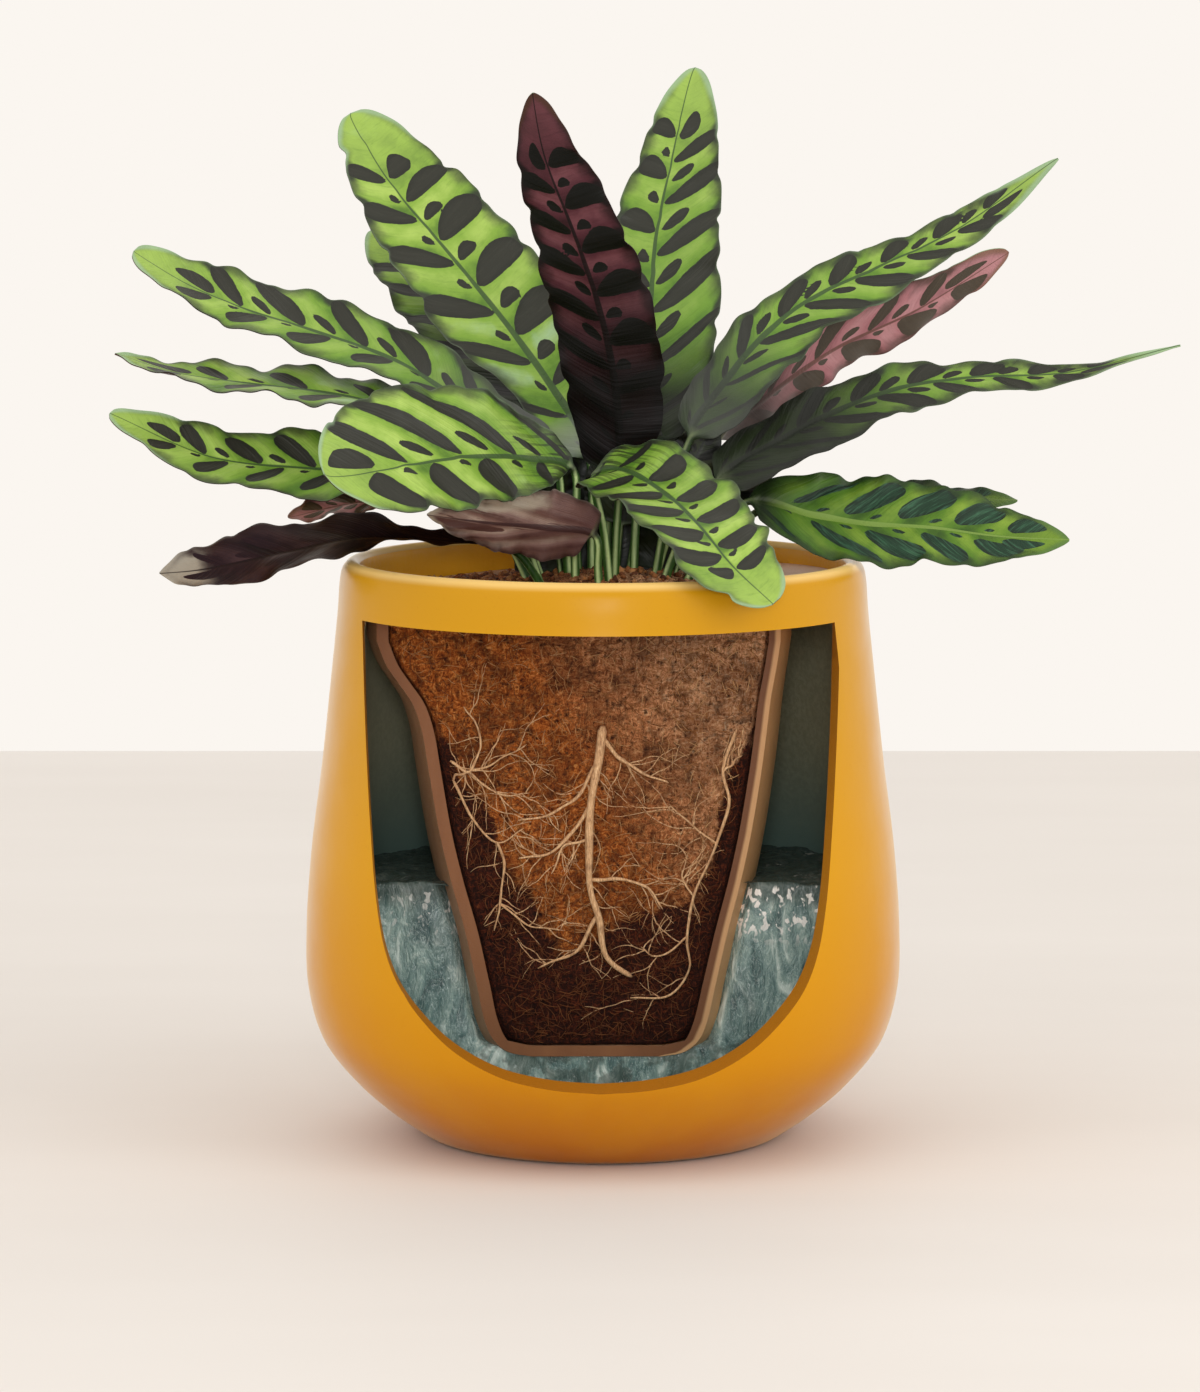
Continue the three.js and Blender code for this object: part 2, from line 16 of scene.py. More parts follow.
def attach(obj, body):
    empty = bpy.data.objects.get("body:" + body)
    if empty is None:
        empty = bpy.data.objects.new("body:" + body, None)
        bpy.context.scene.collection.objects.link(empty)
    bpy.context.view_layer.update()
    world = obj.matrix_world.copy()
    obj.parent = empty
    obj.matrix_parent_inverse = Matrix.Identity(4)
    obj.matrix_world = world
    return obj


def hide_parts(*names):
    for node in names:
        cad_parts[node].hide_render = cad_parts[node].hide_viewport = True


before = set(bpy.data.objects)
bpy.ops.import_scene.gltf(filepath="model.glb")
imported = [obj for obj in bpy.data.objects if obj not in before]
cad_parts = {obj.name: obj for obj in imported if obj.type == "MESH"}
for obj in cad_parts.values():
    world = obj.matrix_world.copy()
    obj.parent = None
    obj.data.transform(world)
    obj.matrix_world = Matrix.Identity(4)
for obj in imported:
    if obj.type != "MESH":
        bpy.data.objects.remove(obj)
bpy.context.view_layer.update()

MM = 0.001
TURN = 2 * math.pi

# Pot and what it holds. Profiles are (radius, height), the inner pot's outside (height, radius, shift in X).

POT_HEIGHT = 215
POT_FLOOR = 10
RIM_INNER_RADIUS = 89.2
POT_OUTSIDE = [
    (63, 0), (66, 0.9), (71.5, 4.3), (80.6, 10.8), (92.5, 21.5), (104.1, 36.6), (109.6, 55.9), (110.2, 77.4),
    (108.1, 107.5), (104, 139.8), (100.5, 172), (98, 196), (97.2, 207), (96.2, 211.8), (94.4, 214.2),
]
POT_LIP = [(92.6, POT_HEIGHT), (90.8, 214.3), (89.6, 212.4)]
POT_INSIDE = [
    (RIM_INNER_RADIUS, 208), (RIM_INNER_RADIUS, 200), (92.5, 172), (96, 139.8), (100.1, 107.5), (102, 77.4),
    (101.6, 57), (96.1, 38.5), (84.5, 23), (78, 15.5), (68, 11), (50, POT_FLOOR),
]
POT_TURNS = 240
AXIS_RADIUS = 20
LIP_START = 213
WALL_SKIN = 0.8

WINDOW_TOP = 196.5
WINDOW_HALF = [
    (85.5, WINDOW_TOP), (84.2, 160), (82.2, 125), (79.8, 98), (76.6, 81), (71.6, 69), (62.5, 57.8),
    (51.7, 48.6), (35.6, 40.6), (17.8, 36.8), (0, 35.5),
]
WINDOW_LOW = 30
WINDOW_SHIFT = -1.8
WINDOW_FRONT = -133
WINDOW_BACK = -23
CUT_EDGE_SHOWN = 3.2
CUT_EDGE_TURN = (0.6, -0.8)
CUT_EDGE_FADE = 16
SECTION_Y = -27
CUTTER_REACH = 130
CUTTER_LOW = -5
CUTTER_PAST = 0.5
NEAREST_WALL = 30
GAP = 0.3

INSERT_BASE = 33
INSERT_WALL = 4
INSERT_OUTSIDE = [
    (INSERT_BASE, 36, -2.5), (34.6, 42, -2.5), (39, 46.4, -2.5), (46, 49, -2.6), (60, 51.6, -2.5),
    (80, 55.4, -2.4), (98, 59.6, -2.6), (116, 63.2, -2.8), (140, 66.8, -2.9), (154, 68.7, -3.2),
    (164, 70.8, -4.3), (171.5, 73.7, -6.2), (178, 76.3, -7.8), (187, 78.6, -8.9),
]
BASE_SHIFT = -2.5
_, INSERT_TOP_RADIUS, INSERT_TOP_SHIFT = INSERT_OUTSIDE[-1]
INSERT_TURNS = 160
PLATE_RADIUS = RIM_INNER_RADIUS - 0.6
PLATE_THICKNESS = 4
PLATE_TOP = 204.5
RIM_TILT = 4 / PLATE_RADIUS
FOOT_RADIUS = 6
FOOT_TURNS = 40
FOOT_PLACES = [(-2.5, 28), (-26.5, -13), (21.5, -13)]

SOIL_TURNS = 120
SOIL_SIDE_GAP = 1.4
SOIL_EDGE_TOP = 203
MOUND_HEIGHT = 6.5
MOUND_SPREAD = 30
SOIL_SLOPE = 0.02
SOIL_BASE_RADIUS = 35
SOIL_GRAIN = 1.2
SECTION_ROUGH = 1.1
TOP_ROUGH = 1.5
WET_BLEND = 26
WET_LINE = [
    (-62, 156), (-55, 147), (-47, 130), (-40, 122), (-33, 96), (-22, 82), (-4, 76), (6, 82), (18, 84),
    (30, 90), (40, 106), (47, 138), (56, 152), (62, 162),
]
FIBRE_COUNT = 2600
FIBRE_STEPS = 4
FIBRE_RADIUS = 0.13
FIBRE_LENGTH = (2.5, 7)
FIBRE_BEND = 1.2
FIBRE_LIFT = (0.2, 0.9)
FIBRE_LOW = 39
FIBRE_HIGH = 195
CRUMB_COUNT = 900
CRUMB_SIZE = (0.5, 1.6)
CRUMB_UNEVEN = (0.6, 1.25)

WATER_LEVEL = 97
POOL_RADIUS = 100.3
WATER_TUCK = 1.6
WATER_BACK = 0.9
WATER_GRAIN = 1.7
WATER_WAVE = 0.7
WATER_HOLLOW = 9
WATER_HOLLOW_REACH = 5

# Leaves, placed as the solids are. Pairs of values are for a blade's base and tip, or for its two halves.
# foot is where the stem leaves the soil, width the blade's widest, full how slowly it widens from either
# end, rib the midrib from base to tip, face the upper face's direction, off_centre how far the rib lies off
# the middle, and stem_size the stem's thickness as a share of the usual.
# Blotches: pairs is how many large ones a half has, even 1 if they are evenly spaced, lean their slant to
# the tip, start and reach where they begin and end between rib and margin, fat their thickness as a share of
# their spacing, wedge how blunt they are by the rib, and small the length of the small ones between them.
# Margin: notch is a nick (half, place, depth), and slim a narrow stretch (half, place, reach, depth).
# Colour: dark is the share of the blade that darkens towards its base as painted shade, mist how pale that
# base is, deep how much of the low green lies over all, lines how strong the thin streaks are, pale how
# strong the painted highlights just below the blotches of the lower blade are, patch a pale patch (half,
# place, reach, strength), and pale_tip how pale the tip is, from pale_from on.
# detail is the mesh: stem rows, blade rows, columns.

STEM_FOOT = 199
STEM_PART = (0.42, 0.42, 0.55)
STEM_RADIUS_LOW = 1.7
STEM_RADIUS_HIGH = 1.35
FLAT_FROM = 0.045
EDGE_WAVES = 4
EDGE_RIPPLE = 1.7
QUICK_WAVES = 11
BLADE_FOLD = 0.14
QUILT_HEIGHT = 0.9
GROOVE_DEPTH = 0.55
SMALLEST_HALF = 0.35
HALF_THICKNESS = 0.36
THINNER_MARGIN = 0.16
PINCH_DEPTH = (0.045, 0.1)
PINCH_REACH = (2.2, 3.6)
MARGIN_RIPPLE = 0.012
FIRST_BLOTCH = 0.82
SECOND_SIDE_LAG = 0.6
FAR_OUT = -9.0
LEAF_DETAIL = (12, 160, 34)
YOUNG_DETAIL = (12, 70, 14)
USUAL_LEAF = dict(
    reach=(1.0, 1.0), fat=(0.18, 0.18), small=(0.3, 0.46), wedge=(0.62, 0.62), even=1.15, start=0.03,
    off_centre=(0, 0), notch=(0, 0, 0), slim=(1, 0, 1, 0), dark=0, mist=0, deep=0, lines=0, pale=0,
    patch=(1, 0, 1, 0), pale_tip=0, pale_from=0.8, stem_size=1.0, detail=LEAF_DETAIL,
)

LEAVES = [
    dict(name="leaf_tall_left", foot=(-4, 7), width=49, full=(0.32, 0.42),
         rib=[(-5, 11, 250), (-20, 21, 276), (-37, 32, 301), (-58, 43, 328), (-77, 54, 351), (-95, 64, 377)],
         face=[(0.1, -0.9, 0.3), (0.3, -0.85, 0.4)], pairs=6, lean=(0.75, 0.2), reach=(1.06, 0.98),
         fat=(0.17, 0.21), small=(0.2, 0.4), even=1.1, off_centre=(0.12, -0.2), notch=(-1, 0.915, 0.2),
         dark=0.13, mist=0.9, pale=0.85, pale_tip=0.5, slim=(-1, 0.2, 0.15, 0.42)),
    dict(name="leaf_behind_left", foot=(-9, 15), width=40, full=(0.4, 0.45),
         rib=[(-12, 24, 248), (-33, 47, 276), (-53, 69, 298), (-70, 85, 315), (-88, 98, 332)],
         face=[(0.2, -0.8, 0.4), (0.3, -0.8, 0.5)], pairs=6, lean=(0.7, 0.3), reach=(1.06, 1.0), dark=0.8,
         deep=0.4),
    dict(name="leaf_centre_purple", foot=(4, -5), width=38, full=(0.3, 0.62),
         rib=[(6, -5, 244), (4, -12, 280), (-1, -22, 308), (-10, -36, 337), (-20, -47, 364),
         (-25, -56, 387)],
         face=[(0.05, 1, 0.1), (0.2, 0.8, 0.5)], pairs=7, lean=(0.0, 0.75), reach=(0.98, 1.05),
         fat=(0.22, 0.19), small=(0.3, 0.36), even=1.05, off_centre=(-0.05, 0.1), dark=0.5),
    dict(name="leaf_tall_right", foot=(11, 5), width=45, full=(0.32, 0.5),
         rib=[(14, 12, 255), (19, 24, 279), (22, 36, 304), (24, 48, 330), (29, 59, 359), (35, 70, 394)],
         face=[(-0.1, -0.95, 0.2), (-0.3, -0.9, 0.3)], pairs=6, lean=(0.25, 0.8), reach=(0.95, 1.06),
         fat=(0.17, 0.17), small=(0.3, 0.4), off_centre=(-0.2, -0.2), dark=0.38, deep=0.35),
    dict(name="leaf_upper_right", foot=(18, 2), width=30, full=(0.34, 0.62),
         rib=[(32, 4, 258), (44, 9, 273), (58, 14, 290), (75, 18, 305), (103, 22, 319), (133, 26, 334),
         (169, 28, 361)],
         face=[(-0.4, -0.85, 0.35), (-0.3, -0.7, 0.6)], pairs=7, lean=(1.1, 1.5), reach=(0.88, 0.96),
         fat=(0.19, 0.18), small=(0.4, 0.3), even=1.0, off_centre=(-0.25, -0.2), wedge=(0.6, 0.6), dark=0.42,
         mist=0.1, deep=0.35),
    dict(name="leaf_rose_right", foot=(17, 11), width=27, full=(0.45, 0.5),
         rib=[(42, 17, 257), (64, 29, 275), (87, 40, 290), (118, 50, 304), (153, 60, 325)],
         face=[(-0.3, 0.75, 0.5), (-0.3, 0.85, 0.5)], pairs=5, lean=(0.5, 1.5), reach=(0.95, 0.9),
         fat=(0.25, 0.12), small=(0.2, 0.3), even=1.0, dark=0.42),
    dict(name="leaf_long_right", foot=(20, -5), width=31, full=(0.22, 1.0),
         rib=[(41, -3, 242), (67, 0, 257.5), (91, 3, 269.5), (111, 5, 276.5), (137, 6, 280.5),
         (171, 6, 282.5), (213, 6, 293)],
         face=[(-0.3, -0.6, 0.7), (-0.1, -0.7, 0.65)], pairs=7, lean=(1.1, 1.4), reach=(0.9, 1.0),
         fat=(0.19, 0.18), small=(0.4, 0.3), even=1.0, off_centre=(-0.15, -0.1), wedge=(0.6, 0.6), dark=0.62,
         deep=0.4),
    dict(name="leaf_low_right", foot=(27, -8), width=39, full=(0.5, 0.72),
         rib=[(53, -4, 236), (78, -4, 231), (98, -6, 228), (120, -9, 227), (146, -13, 224), (171, -16, 223)],
         face=[(-0.1, -0.75, 0.65), (0, -0.8, 0.6)], pairs=5, lean=(1.1, 1.3), start=0.16, reach=(0.9, 0.88),
         fat=(0.25, 0.24), small=(0.13, 0.13), even=1.0, dark=0.14),
    dict(name="leaf_small_right", foot=(26, 6), width=17, full=(0.6, 0.6),
         rib=[(62, 15, 233), (92, 22, 235), (122, 27, 235), (155, 30, 233.5)],
         face=[(-0.1, -0.5, 0.8), (0, -0.5, 0.8)], pairs=5, lean=(0.9, 0.9), dark=1.2),
    dict(name="leaf_upper_left", foot=(-12, 1), width=34, full=(0.4, 0.4),
         rib=[(-19, 1, 253), (-46, 6, 269), (-75, 15, 287), (-105, 18, 298), (-131, 20, 306),
         (-153, 20, 315), (-174, 20, 327)],
         face=[(0.3, -0.6, 0.7), (0.2, -0.5, 0.8)], pairs=6, lean=(1.0, 1.1), reach=(0.72, 0.98),
         fat=(0.17, 0.17), small=(0.14, 0.34), even=1.05, off_centre=(-0.1, -0.1), dark=0.3, mist=0.2,
         deep=0.2, pale=0.5, pale_tip=0.4),
    dict(name="leaf_thin_left", foot=(-20, 2), width=34, full=(0.6, 0.8),
         rib=[(-50, 0, 257), (-81, 1, 271), (-104, 3, 276), (-130, 4, 279), (-158, 5, 283), (-180, 5, 290)],
         face=[(0.2, -0.35, 0.95), (0.1, -0.2, 0.97)], pairs=4, lean=(0.9, 1.2), reach=(0.75, 0.7),
         fat=(0.14, 0.11), small=(0.1, 0.16), even=1.0, dark=0.2, deep=0.15, pale=0.8, pale_tip=0.4),
    dict(name="leaf_front_left", foot=(-10, -12), width=53, full=(0.9, 0.48),
         rib=[(-11, -14, 249), (-27, -27, 255.5), (-49, -45, 259), (-74, -65, 257.5), (-99, -85, 253)],
         face=[(-0.1, -0.85, 0.5), (-0.2, -0.95, 0.35)], pairs=4, lean=(-0.5, 1.2), reach=(0.92, 1.02),
         fat=(0.22, 0.15), small=(0.2, 0.3), even=1.0, off_centre=(-0.1, -0.2), dark=0.04, pale=0.5,
         lines=1.0),
    dict(name="leaf_mid_left", foot=(-21, -7), width=38, full=(0.4, 0.45),
         rib=[(-42, -6, 245), (-62, -8, 247), (-86, -9, 248), (-111, -10, 249), (-144, -10, 253),
         (-181, -10, 269)],
         face=[(0.1, -0.6, 0.8), (0.2, -0.55, 0.8)], pairs=6, lean=(0.9, 1.0), reach=(0.72, 0.85),
         fat=(0.17, 0.18), small=(0.14, 0.26), even=1.0, dark=0.3, deep=0.35, pale=0.5, pale_tip=0.4),
    dict(name="leaf_drooping_left", foot=(-19, -16), width=30, full=(0.7, 0.8),
         rib=[(-33, -14, 219), (-60, -12, 223), (-89, -12, 224), (-119, -12, 218), (-148, -12, 212),
         (-163, -12, 210.5)],
         face=[(0, 0.1, 1), (0, 0.9, 0.4)], pairs=4, lean=(1.4, 1.4), reach=(0.8, 0.6), fat=(0.07, 0.08),
         dark=0.7, pale_tip=1.2, pale_from=0.7),
    dict(name="leaf_small_left", foot=(-25, 9), width=22, full=(0.6, 0.55),
         rib=[(-48, 13, 236), (-70, 15, 237), (-95, 14, 234), (-117, 12, 229)],
         face=[(0, 0.5, 0.8), (0, 0.6, 0.8)], pairs=4, lean=(0.9, 0.9), reach=(0.8, 0.8), dark=0.3),
    dict(name="leaf_front_mauve", foot=(-1, -24), width=28, full=(0.4, 0.75),
         rib=[(-3, -28, 226), (-21, -29, 229), (-42, -31, 231), (-64, -33, 234)],
         face=[(0.1, 0.9, 0.35), (0.1, 0.9, 0.35)], pairs=2, lean=(5.0, 5.0), reach=(0.6, 0.6),
         fat=(0.02, 0.02), small=(0.05, 0.05), dark=0.05, patch=(-1, 0.6, 0.32, 1.3)),
    dict(name="leaf_front_right", foot=(3, -15), width=46, full=(0.35, 0.42),
         rib=[(-3, -20, 247), (7, -31, 250), (23, -50, 242.5), (34.5, -70, 233), (46, -84, 220),
         (60, -94, 207.5)],
         face=[(0.1, -0.6, 0.8), (0.5, -0.8, 0.4)], pairs=6, lean=(-0.25, -0.25), reach=(0.92, 0.95),
         fat=(0.23, 0.24), small=(0.24, 0.3), notch=(1, 0.9, 0.12), dark=0.07, mist=0.2, pale=0.3,
         pale_tip=0.4, lines=1.0),
    dict(name="leaf_back_right", foot=(9, 19), width=40, full=(0.55, 0.5),
         rib=[(18, 38, 246), (28, 66, 263), (38, 95, 273), (48, 123, 274), (57, 150, 268)],
         face=[(-0.2, -0.7, 0.6), (0.1, 0.2, 0.95)], pairs=6, lean=(0.6, 0.6), dark=0.3),
    dict(name="leaf_back_left", foot=(-9, 25), width=38, full=(0.55, 0.5),
         rib=[(-16, 42, 240), (-26, 70, 252), (-36, 98, 259), (-45, 124, 260), (-52, 150, 254)],
         face=[(0.2, -0.7, 0.6), (-0.1, 0.2, 0.95)], pairs=6, lean=(0.6, 0.6), dark=0.3),
    dict(name="leaf_back_centre", foot=(1, 13), width=42, full=(0.55, 0.45),
         rib=[(3, 30, 257), (5, 60, 283), (6, 92, 302), (6, 124, 312), (5, 156, 312)],
         face=[(0, -0.8, 0.5), (0, -0.1, 1)], pairs=6, lean=(0.6, 0.6), dark=0.3),
]

# Young leaves and sheaths, half furled and painted dark all over as shade, filling the clump between the
# stems: (name, foot, width, rib)

SHADE_LEAVES = [
    ("young_left", (-15, 12), 26, [(-18, 12, 222), (-22, 13, 238), (-27, 15, 254), (-33, 19, 272)]),
    ("young_back", (-4, 19), 30, [(-5, 18, 226), (-7, 18, 242), (-9, 19, 258), (-12, 22, 276)]),
    ("young_middle", (5, 12), 32, [(7, 11, 226), (9, 11, 240), (11, 12, 256), (13, 15, 274)]),
    ("young_right", (19, 13), 28, [(23, 12, 224), (28, 12, 237), (34, 13, 250), (41, 15, 264)]),
    ("young_low_right", (25, 9), 22, [(31, 9, 220), (38, 9, 229), (47, 9, 238), (58, 10, 247)]),
    ("young_low_left", (-23, 3), 22, [(-28, 6, 219), (-36, 7, 229), (-46, 8, 238), (-57, 9, 246)]),
    ("sheath_left", (-22, 22), 24, [(-22, 22, 207), (-23, 23, 222), (-25, 25, 240), (-29, 28, 262)]),
    ("sheath_mid_left", (-8, 26), 26, [(-8, 26, 207), (-8, 27, 224), (-9, 29, 242), (-12, 33, 264)]),
    ("sheath_middle", (7, 26), 26, [(7, 26, 207), (8, 27, 224), (9, 29, 242), (10, 33, 266)]),
    ("sheath_right", (22, 23), 26, [(22, 23, 208), (24, 24, 223), (27, 26, 240), (31, 30, 258)]),
]
# dark=3.0 paints these leaves nearly black all over: painted shade.
SHADE_LEAF_LOOK = dict(
    face=[(0, -1, 0.1), (0.1, -0.9, 0.3)], pairs=3, lean=(0.9, 0.9), dark=3.0, stem_size=0.6,
    detail=YOUNG_DETAIL,
)
YOUNG_FULL = (0.25, 0.6)
SHEATH_FULL = (0.12, 0.5)

# Roots: (points as (x, z) on the cut face of the soil, radius at the start, radius at the end)

ROOTS = {
    "roots_centre": [
        ([(0, 156), (-1.8, 143), (-4, 128), (-5.5, 114), (-4.8, 99), (-1.8, 86), (-0.4, 75), (3.3, 68),
          (10.7, 63)], 1.7, 0.9),
        ([(-0.5, 152), (5, 145), (14, 139), (24, 135)], 0.9, 0.3),
        ([(-1.8, 143), (-9, 131), (-17, 124), (-31, 121)], 0.8, 0.3),
        ([(-4, 128), (-12, 115), (-23, 108), (-31, 107)], 0.8, 0.3),
        ([(-5.5, 114), (-14, 111), (-19, 101)], 0.6, 0.25),
        ([(-4.8, 99), (4, 99), (15, 97), (22, 88)], 0.8, 0.3),
        ([(-1.8, 86), (-10, 73), (-24, 66)], 0.9, 0.3),
    ],
    "roots_left": [
        ([(-56, 143), (-49, 139), (-45, 147), (-47, 157), (-51, 163)], 0.58, 0.25),
        ([(-49, 139), (-38, 143), (-28, 149)], 0.43, 0.22),
        ([(-49, 139), (-39, 131), (-27, 131)], 0.43, 0.22),
        ([(-55, 136), (-48, 122), (-39, 113), (-29, 118)], 0.58, 0.22),
        ([(-49, 139), (-53, 138), (-55, 136)], 0.5, 0.43),
        ([(-39, 113), (-36, 104), (-38, 90), (-40, 80)], 0.58, 0.29),
        ([(-38, 90), (-27, 82), (-14, 80)], 0.43, 0.22),
    ],
    "roots_right": [
        ([(49, 155), (44, 139), (46, 128), (42, 112), (33, 93), (31, 78), (32, 66), (24, 56),
          (10, 55)], 0.65, 0.36),
        ([(44, 139), (47, 142), (51, 145)], 0.58, 0.29),
        ([(33, 93), (29, 101), (31, 108)], 0.43, 0.22),
        ([(31, 78), (20, 70), (14, 74)], 0.43, 0.22),
        ([(42, 112), (33, 119), (24, 127)], 0.43, 0.22),
    ],
}
ROOTLETS_PER_ROOT = 7
ROOTLET_LENGTH = (8, 24)
ROOTLET_STEP = 1.6
ROOTLET_WANDER = 0.32
ROOTLET_ANGLE = (0.5, 1.2)
FORKED_SHARE = 0.6
FINER_LENGTH = 9
ROOT_SWAY = 0.5

FLOOR_REACH = 1103
FLOOR_LEVEL = -0.4
FLOOR_SIDES = 8
CAMERA_PLACE = (-1.1, -2200, 429)
CAMERA_PITCH = 6.88
CAMERA_LENS = 154.7
CAMERA_SENSOR = 36
BACKDROP = (251, 246, 240)
LAMP_TARGET = (0, 0, 200)
LAMPS = [  # (name, place, size, power)
    ("key", (1150, -750, 800), 900, 3.2),
    ("fill", (-800, -800, 1100), 900, 1.0),
    ("front", (0, -1900, 520), 260, 5.0),
]


def tone(red, green, blue):
    """A colour given as screen values from 0 to 255, made linear."""
    shares = (value / 255 for value in (red, green, blue))
    return (*(v / 12.92 if v <= 0.04045 else ((v + 0.055) / 1.055) ** 2.4 for v in shares), 1.0)


# Curves and meshes


def curve_through(points, places):
    """Points and unit tangents of a centripetal Catmull-Rom curve through points, at places from 0 to 1."""
    points = np.asarray(points, float)
    ends = np.vstack([2 * points[:1] - points[1:2], points, 2 * points[-1:] - points[-2:-1]])
    spans = len(points) - 1
    at = np.clip(np.asarray(places, float), 0, 1) * spans
    span = np.minimum(at.astype(int), spans - 1)
    w = (at - span)[:, None]
    p0, p1, p2, p3 = (ends[span + k] for k in range(4))
    d0, d1, d2 = (np.sqrt(np.linalg.norm(b - a, axis=1))[:, None] for a, b in ((p0, p1), (p1, p2), (p2, p3)))
    slope1 = ((p1 - p0) / d0 - (p2 - p0) / (d0 + d1) + (p2 - p1) / d1) * d1
    slope2 = ((p2 - p1) / d1 - (p3 - p1) / (d1 + d2) + (p3 - p2) / d2) * d1
    square = -3 * p1 + 3 * p2 - 2 * slope1 - slope2
    cube = 2 * p1 - 2 * p2 + slope1 + slope2
    middle = p1 + slope1 * w + square * w**2 + cube * w**3
    tangent = slope1 + 2 * square * w + 3 * cube * w**2
    return middle, unit(tangent)


def unit(vectors):
    """The same directions, one long."""
    return vectors / np.linalg.norm(vectors, axis=1)[:, None]


def smooth_line(points, steps):
    """steps points on the curve, ends included."""
    return curve_through(points, np.linspace(0, 1, steps))[0]


def flat_line(points, steps):
    """The same for points in a plane."""
    return smooth_line([(a, 0, b) for a, b in points], steps)[:, [0, 2]]


def add_object(name, data):
    obj = bpy.data.objects.new(name, data)
    bpy.context.scene.collection.objects.link(obj)
    return obj


def make_object(name, vertices, faces):
    """A mesh object from vertices in millimetres."""
    mesh = bpy.data.meshes.new(name)
    faces = [tuple(int(i) for i in face) for face in faces]
    mesh.from_pydata((np.asarray(vertices) * MM).tolist(), [], faces)
    mesh.update()
    return add_object(name, mesh)


def turn_out(obj):
    """Makes every face of a closed mesh point outwards."""
    work = bmesh.new()
    work.from_mesh(obj.data)
    bmesh.ops.recalc_face_normals(work, faces=work.faces)
    work.to_mesh(obj.data)
    work.free()


def ring_faces(rings, count):
    """Quads between rings of count points each."""
    low = np.arange(rings - 1)[:, None] * count
    here = np.arange(count)[None, :]
    after = (here + 1) % count
    corners = [low + here, low + after, low + count + after, low + count + here]
    return np.stack(corners, axis=2).reshape(-1, 4)


def closed_faces(rings, count):
    """The same quads, and one face at either end."""
    last = (rings - 1) * count
    ends = (range(count)[::-1], range(last, last + count))
    return [*map(tuple, ring_faces(rings, count)), *map(tuple, ends)]


def loft(name, rings):
    """A closed object through rings of points."""
    obj = make_object(name, np.vstack(rings), closed_faces(len(rings), len(rings[0])))
    turn_out(obj)
    return obj


def round_ring(height, radius, shift, count, tilt=0.0):
    turn = np.linspace(0, TURN, count, endpoint=False)
    x = shift + np.cos(turn) * radius
    return np.stack([x, np.sin(turn) * radius, height + tilt * x], axis=1)


def round_rings(rows, count, tilt=0.0):
    """Rings for rows of (height, radius, shift)."""
    return [round_ring(*row, count, tilt) for row in rows]


def front_block(back, top):
    """A box used only to cut with: all that lies in front of back and below top."""
    x = CUTTER_REACH
    corners = ((-x, -x), (x, -x), (x, back), (-x, back))
    return loft("section", [np.array([(*corner, z) for corner in corners]) for z in (CUTTER_LOW, top)])


def settle(obj):
    """Applies the object's modifiers to its mesh."""
    graph = bpy.context.evaluated_depsgraph_get()
    mesh = bpy.data.meshes.new_from_object(obj.evaluated_get(graph))
    old = obj.data
    obj.modifiers.clear()
    obj.data = mesh
    bpy.data.meshes.remove(old)


def cut(obj, tool, operation="DIFFERENCE"):
    """Cuts or joins with another object, which is then removed."""
    change = obj.modifiers.new("cut", "BOOLEAN")
    change.operation = operation
    change.solver = "MANIFOLD"
    change.object = tool
    settle(obj)
    bpy.data.objects.remove(tool)


def remesh(obj, size):
    """Evens the mesh out to quads of one size, and returns its vertices in millimetres and their normals."""
    change = obj.modifiers.new("remesh", "REMESH")
    change.mode = "VOXEL"
    change.voxel_size = size * MM
    settle(obj)
    return read_vectors(obj.data.vertices, "co") / MM, read_vectors(obj.data.vertex_normals, "vector")


def read_vectors(items, key):
    flat = np.empty(len(items) * 3)
    items.foreach_get(key, flat)
    return flat.reshape(-1, 3)


def put_places(obj, places):
    obj.data.vertices.foreach_set("co", (places * MM).ravel())
    obj.data.update()


def set_values(obj, name, values):
    """Stores one number at each vertex for the materials to read."""
    attribute = obj.data.attributes.new(name, "FLOAT", "POINT")
    attribute.data.foreach_set("value", np.asarray(values, float).ravel())


def set_materials(obj, numbers):
    """Says for each face which of the piece's materials it has."""
    obj.data.polygons.foreach_set("material_index", np.asarray(numbers, int))


def smooth_shading(obj, sharp_degrees=None):
    obj.data.polygons.foreach_set("use_smooth", [True] * len(obj.data.polygons))
    if sharp_degrees:
        obj.data.set_sharp_from_angle(angle=math.radians(sharp_degrees))
    obj.data.update()


def dress(obj, materials, node):
    """Gives a piece its materials and its body, and hides the part of the node that it stands for."""
    while len(obj.data.materials) < len(materials):
        obj.data.materials.append(None)
    for place, material in enumerate(materials):
        obj.data.materials[place] = material
    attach(obj, "root")
    if node:
        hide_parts(node)


def fbm(places, scale, octaves=4, offset=0.0):
    """Fractal noise from -1 to 1 at places in millimetres, with its main wave scale millimetres long."""
    start = Vector((offset, offset * 0.7, -offset))
    return np.array([noise.fractal(Vector(p) / scale + start, 1.0, 2.0, octaves) for p in places])


def front_and_top(places, normals, near, low):
    """How squarely each vertex faces the front, near the cut plane, and up, above the height low."""
    front = np.clip(-normals[:, 1], 0, 1) * (np.abs(places[:, 1] - SECTION_Y) < near)
    top = np.clip(normals[:, 2], 0, 1) * (places[:, 2] > low)
    return front, top


def bell(distance):
    """1 at no distance, falling smoothly to nearly 0 at twice the unit."""
    return np.exp(-(distance**2))


# Materials


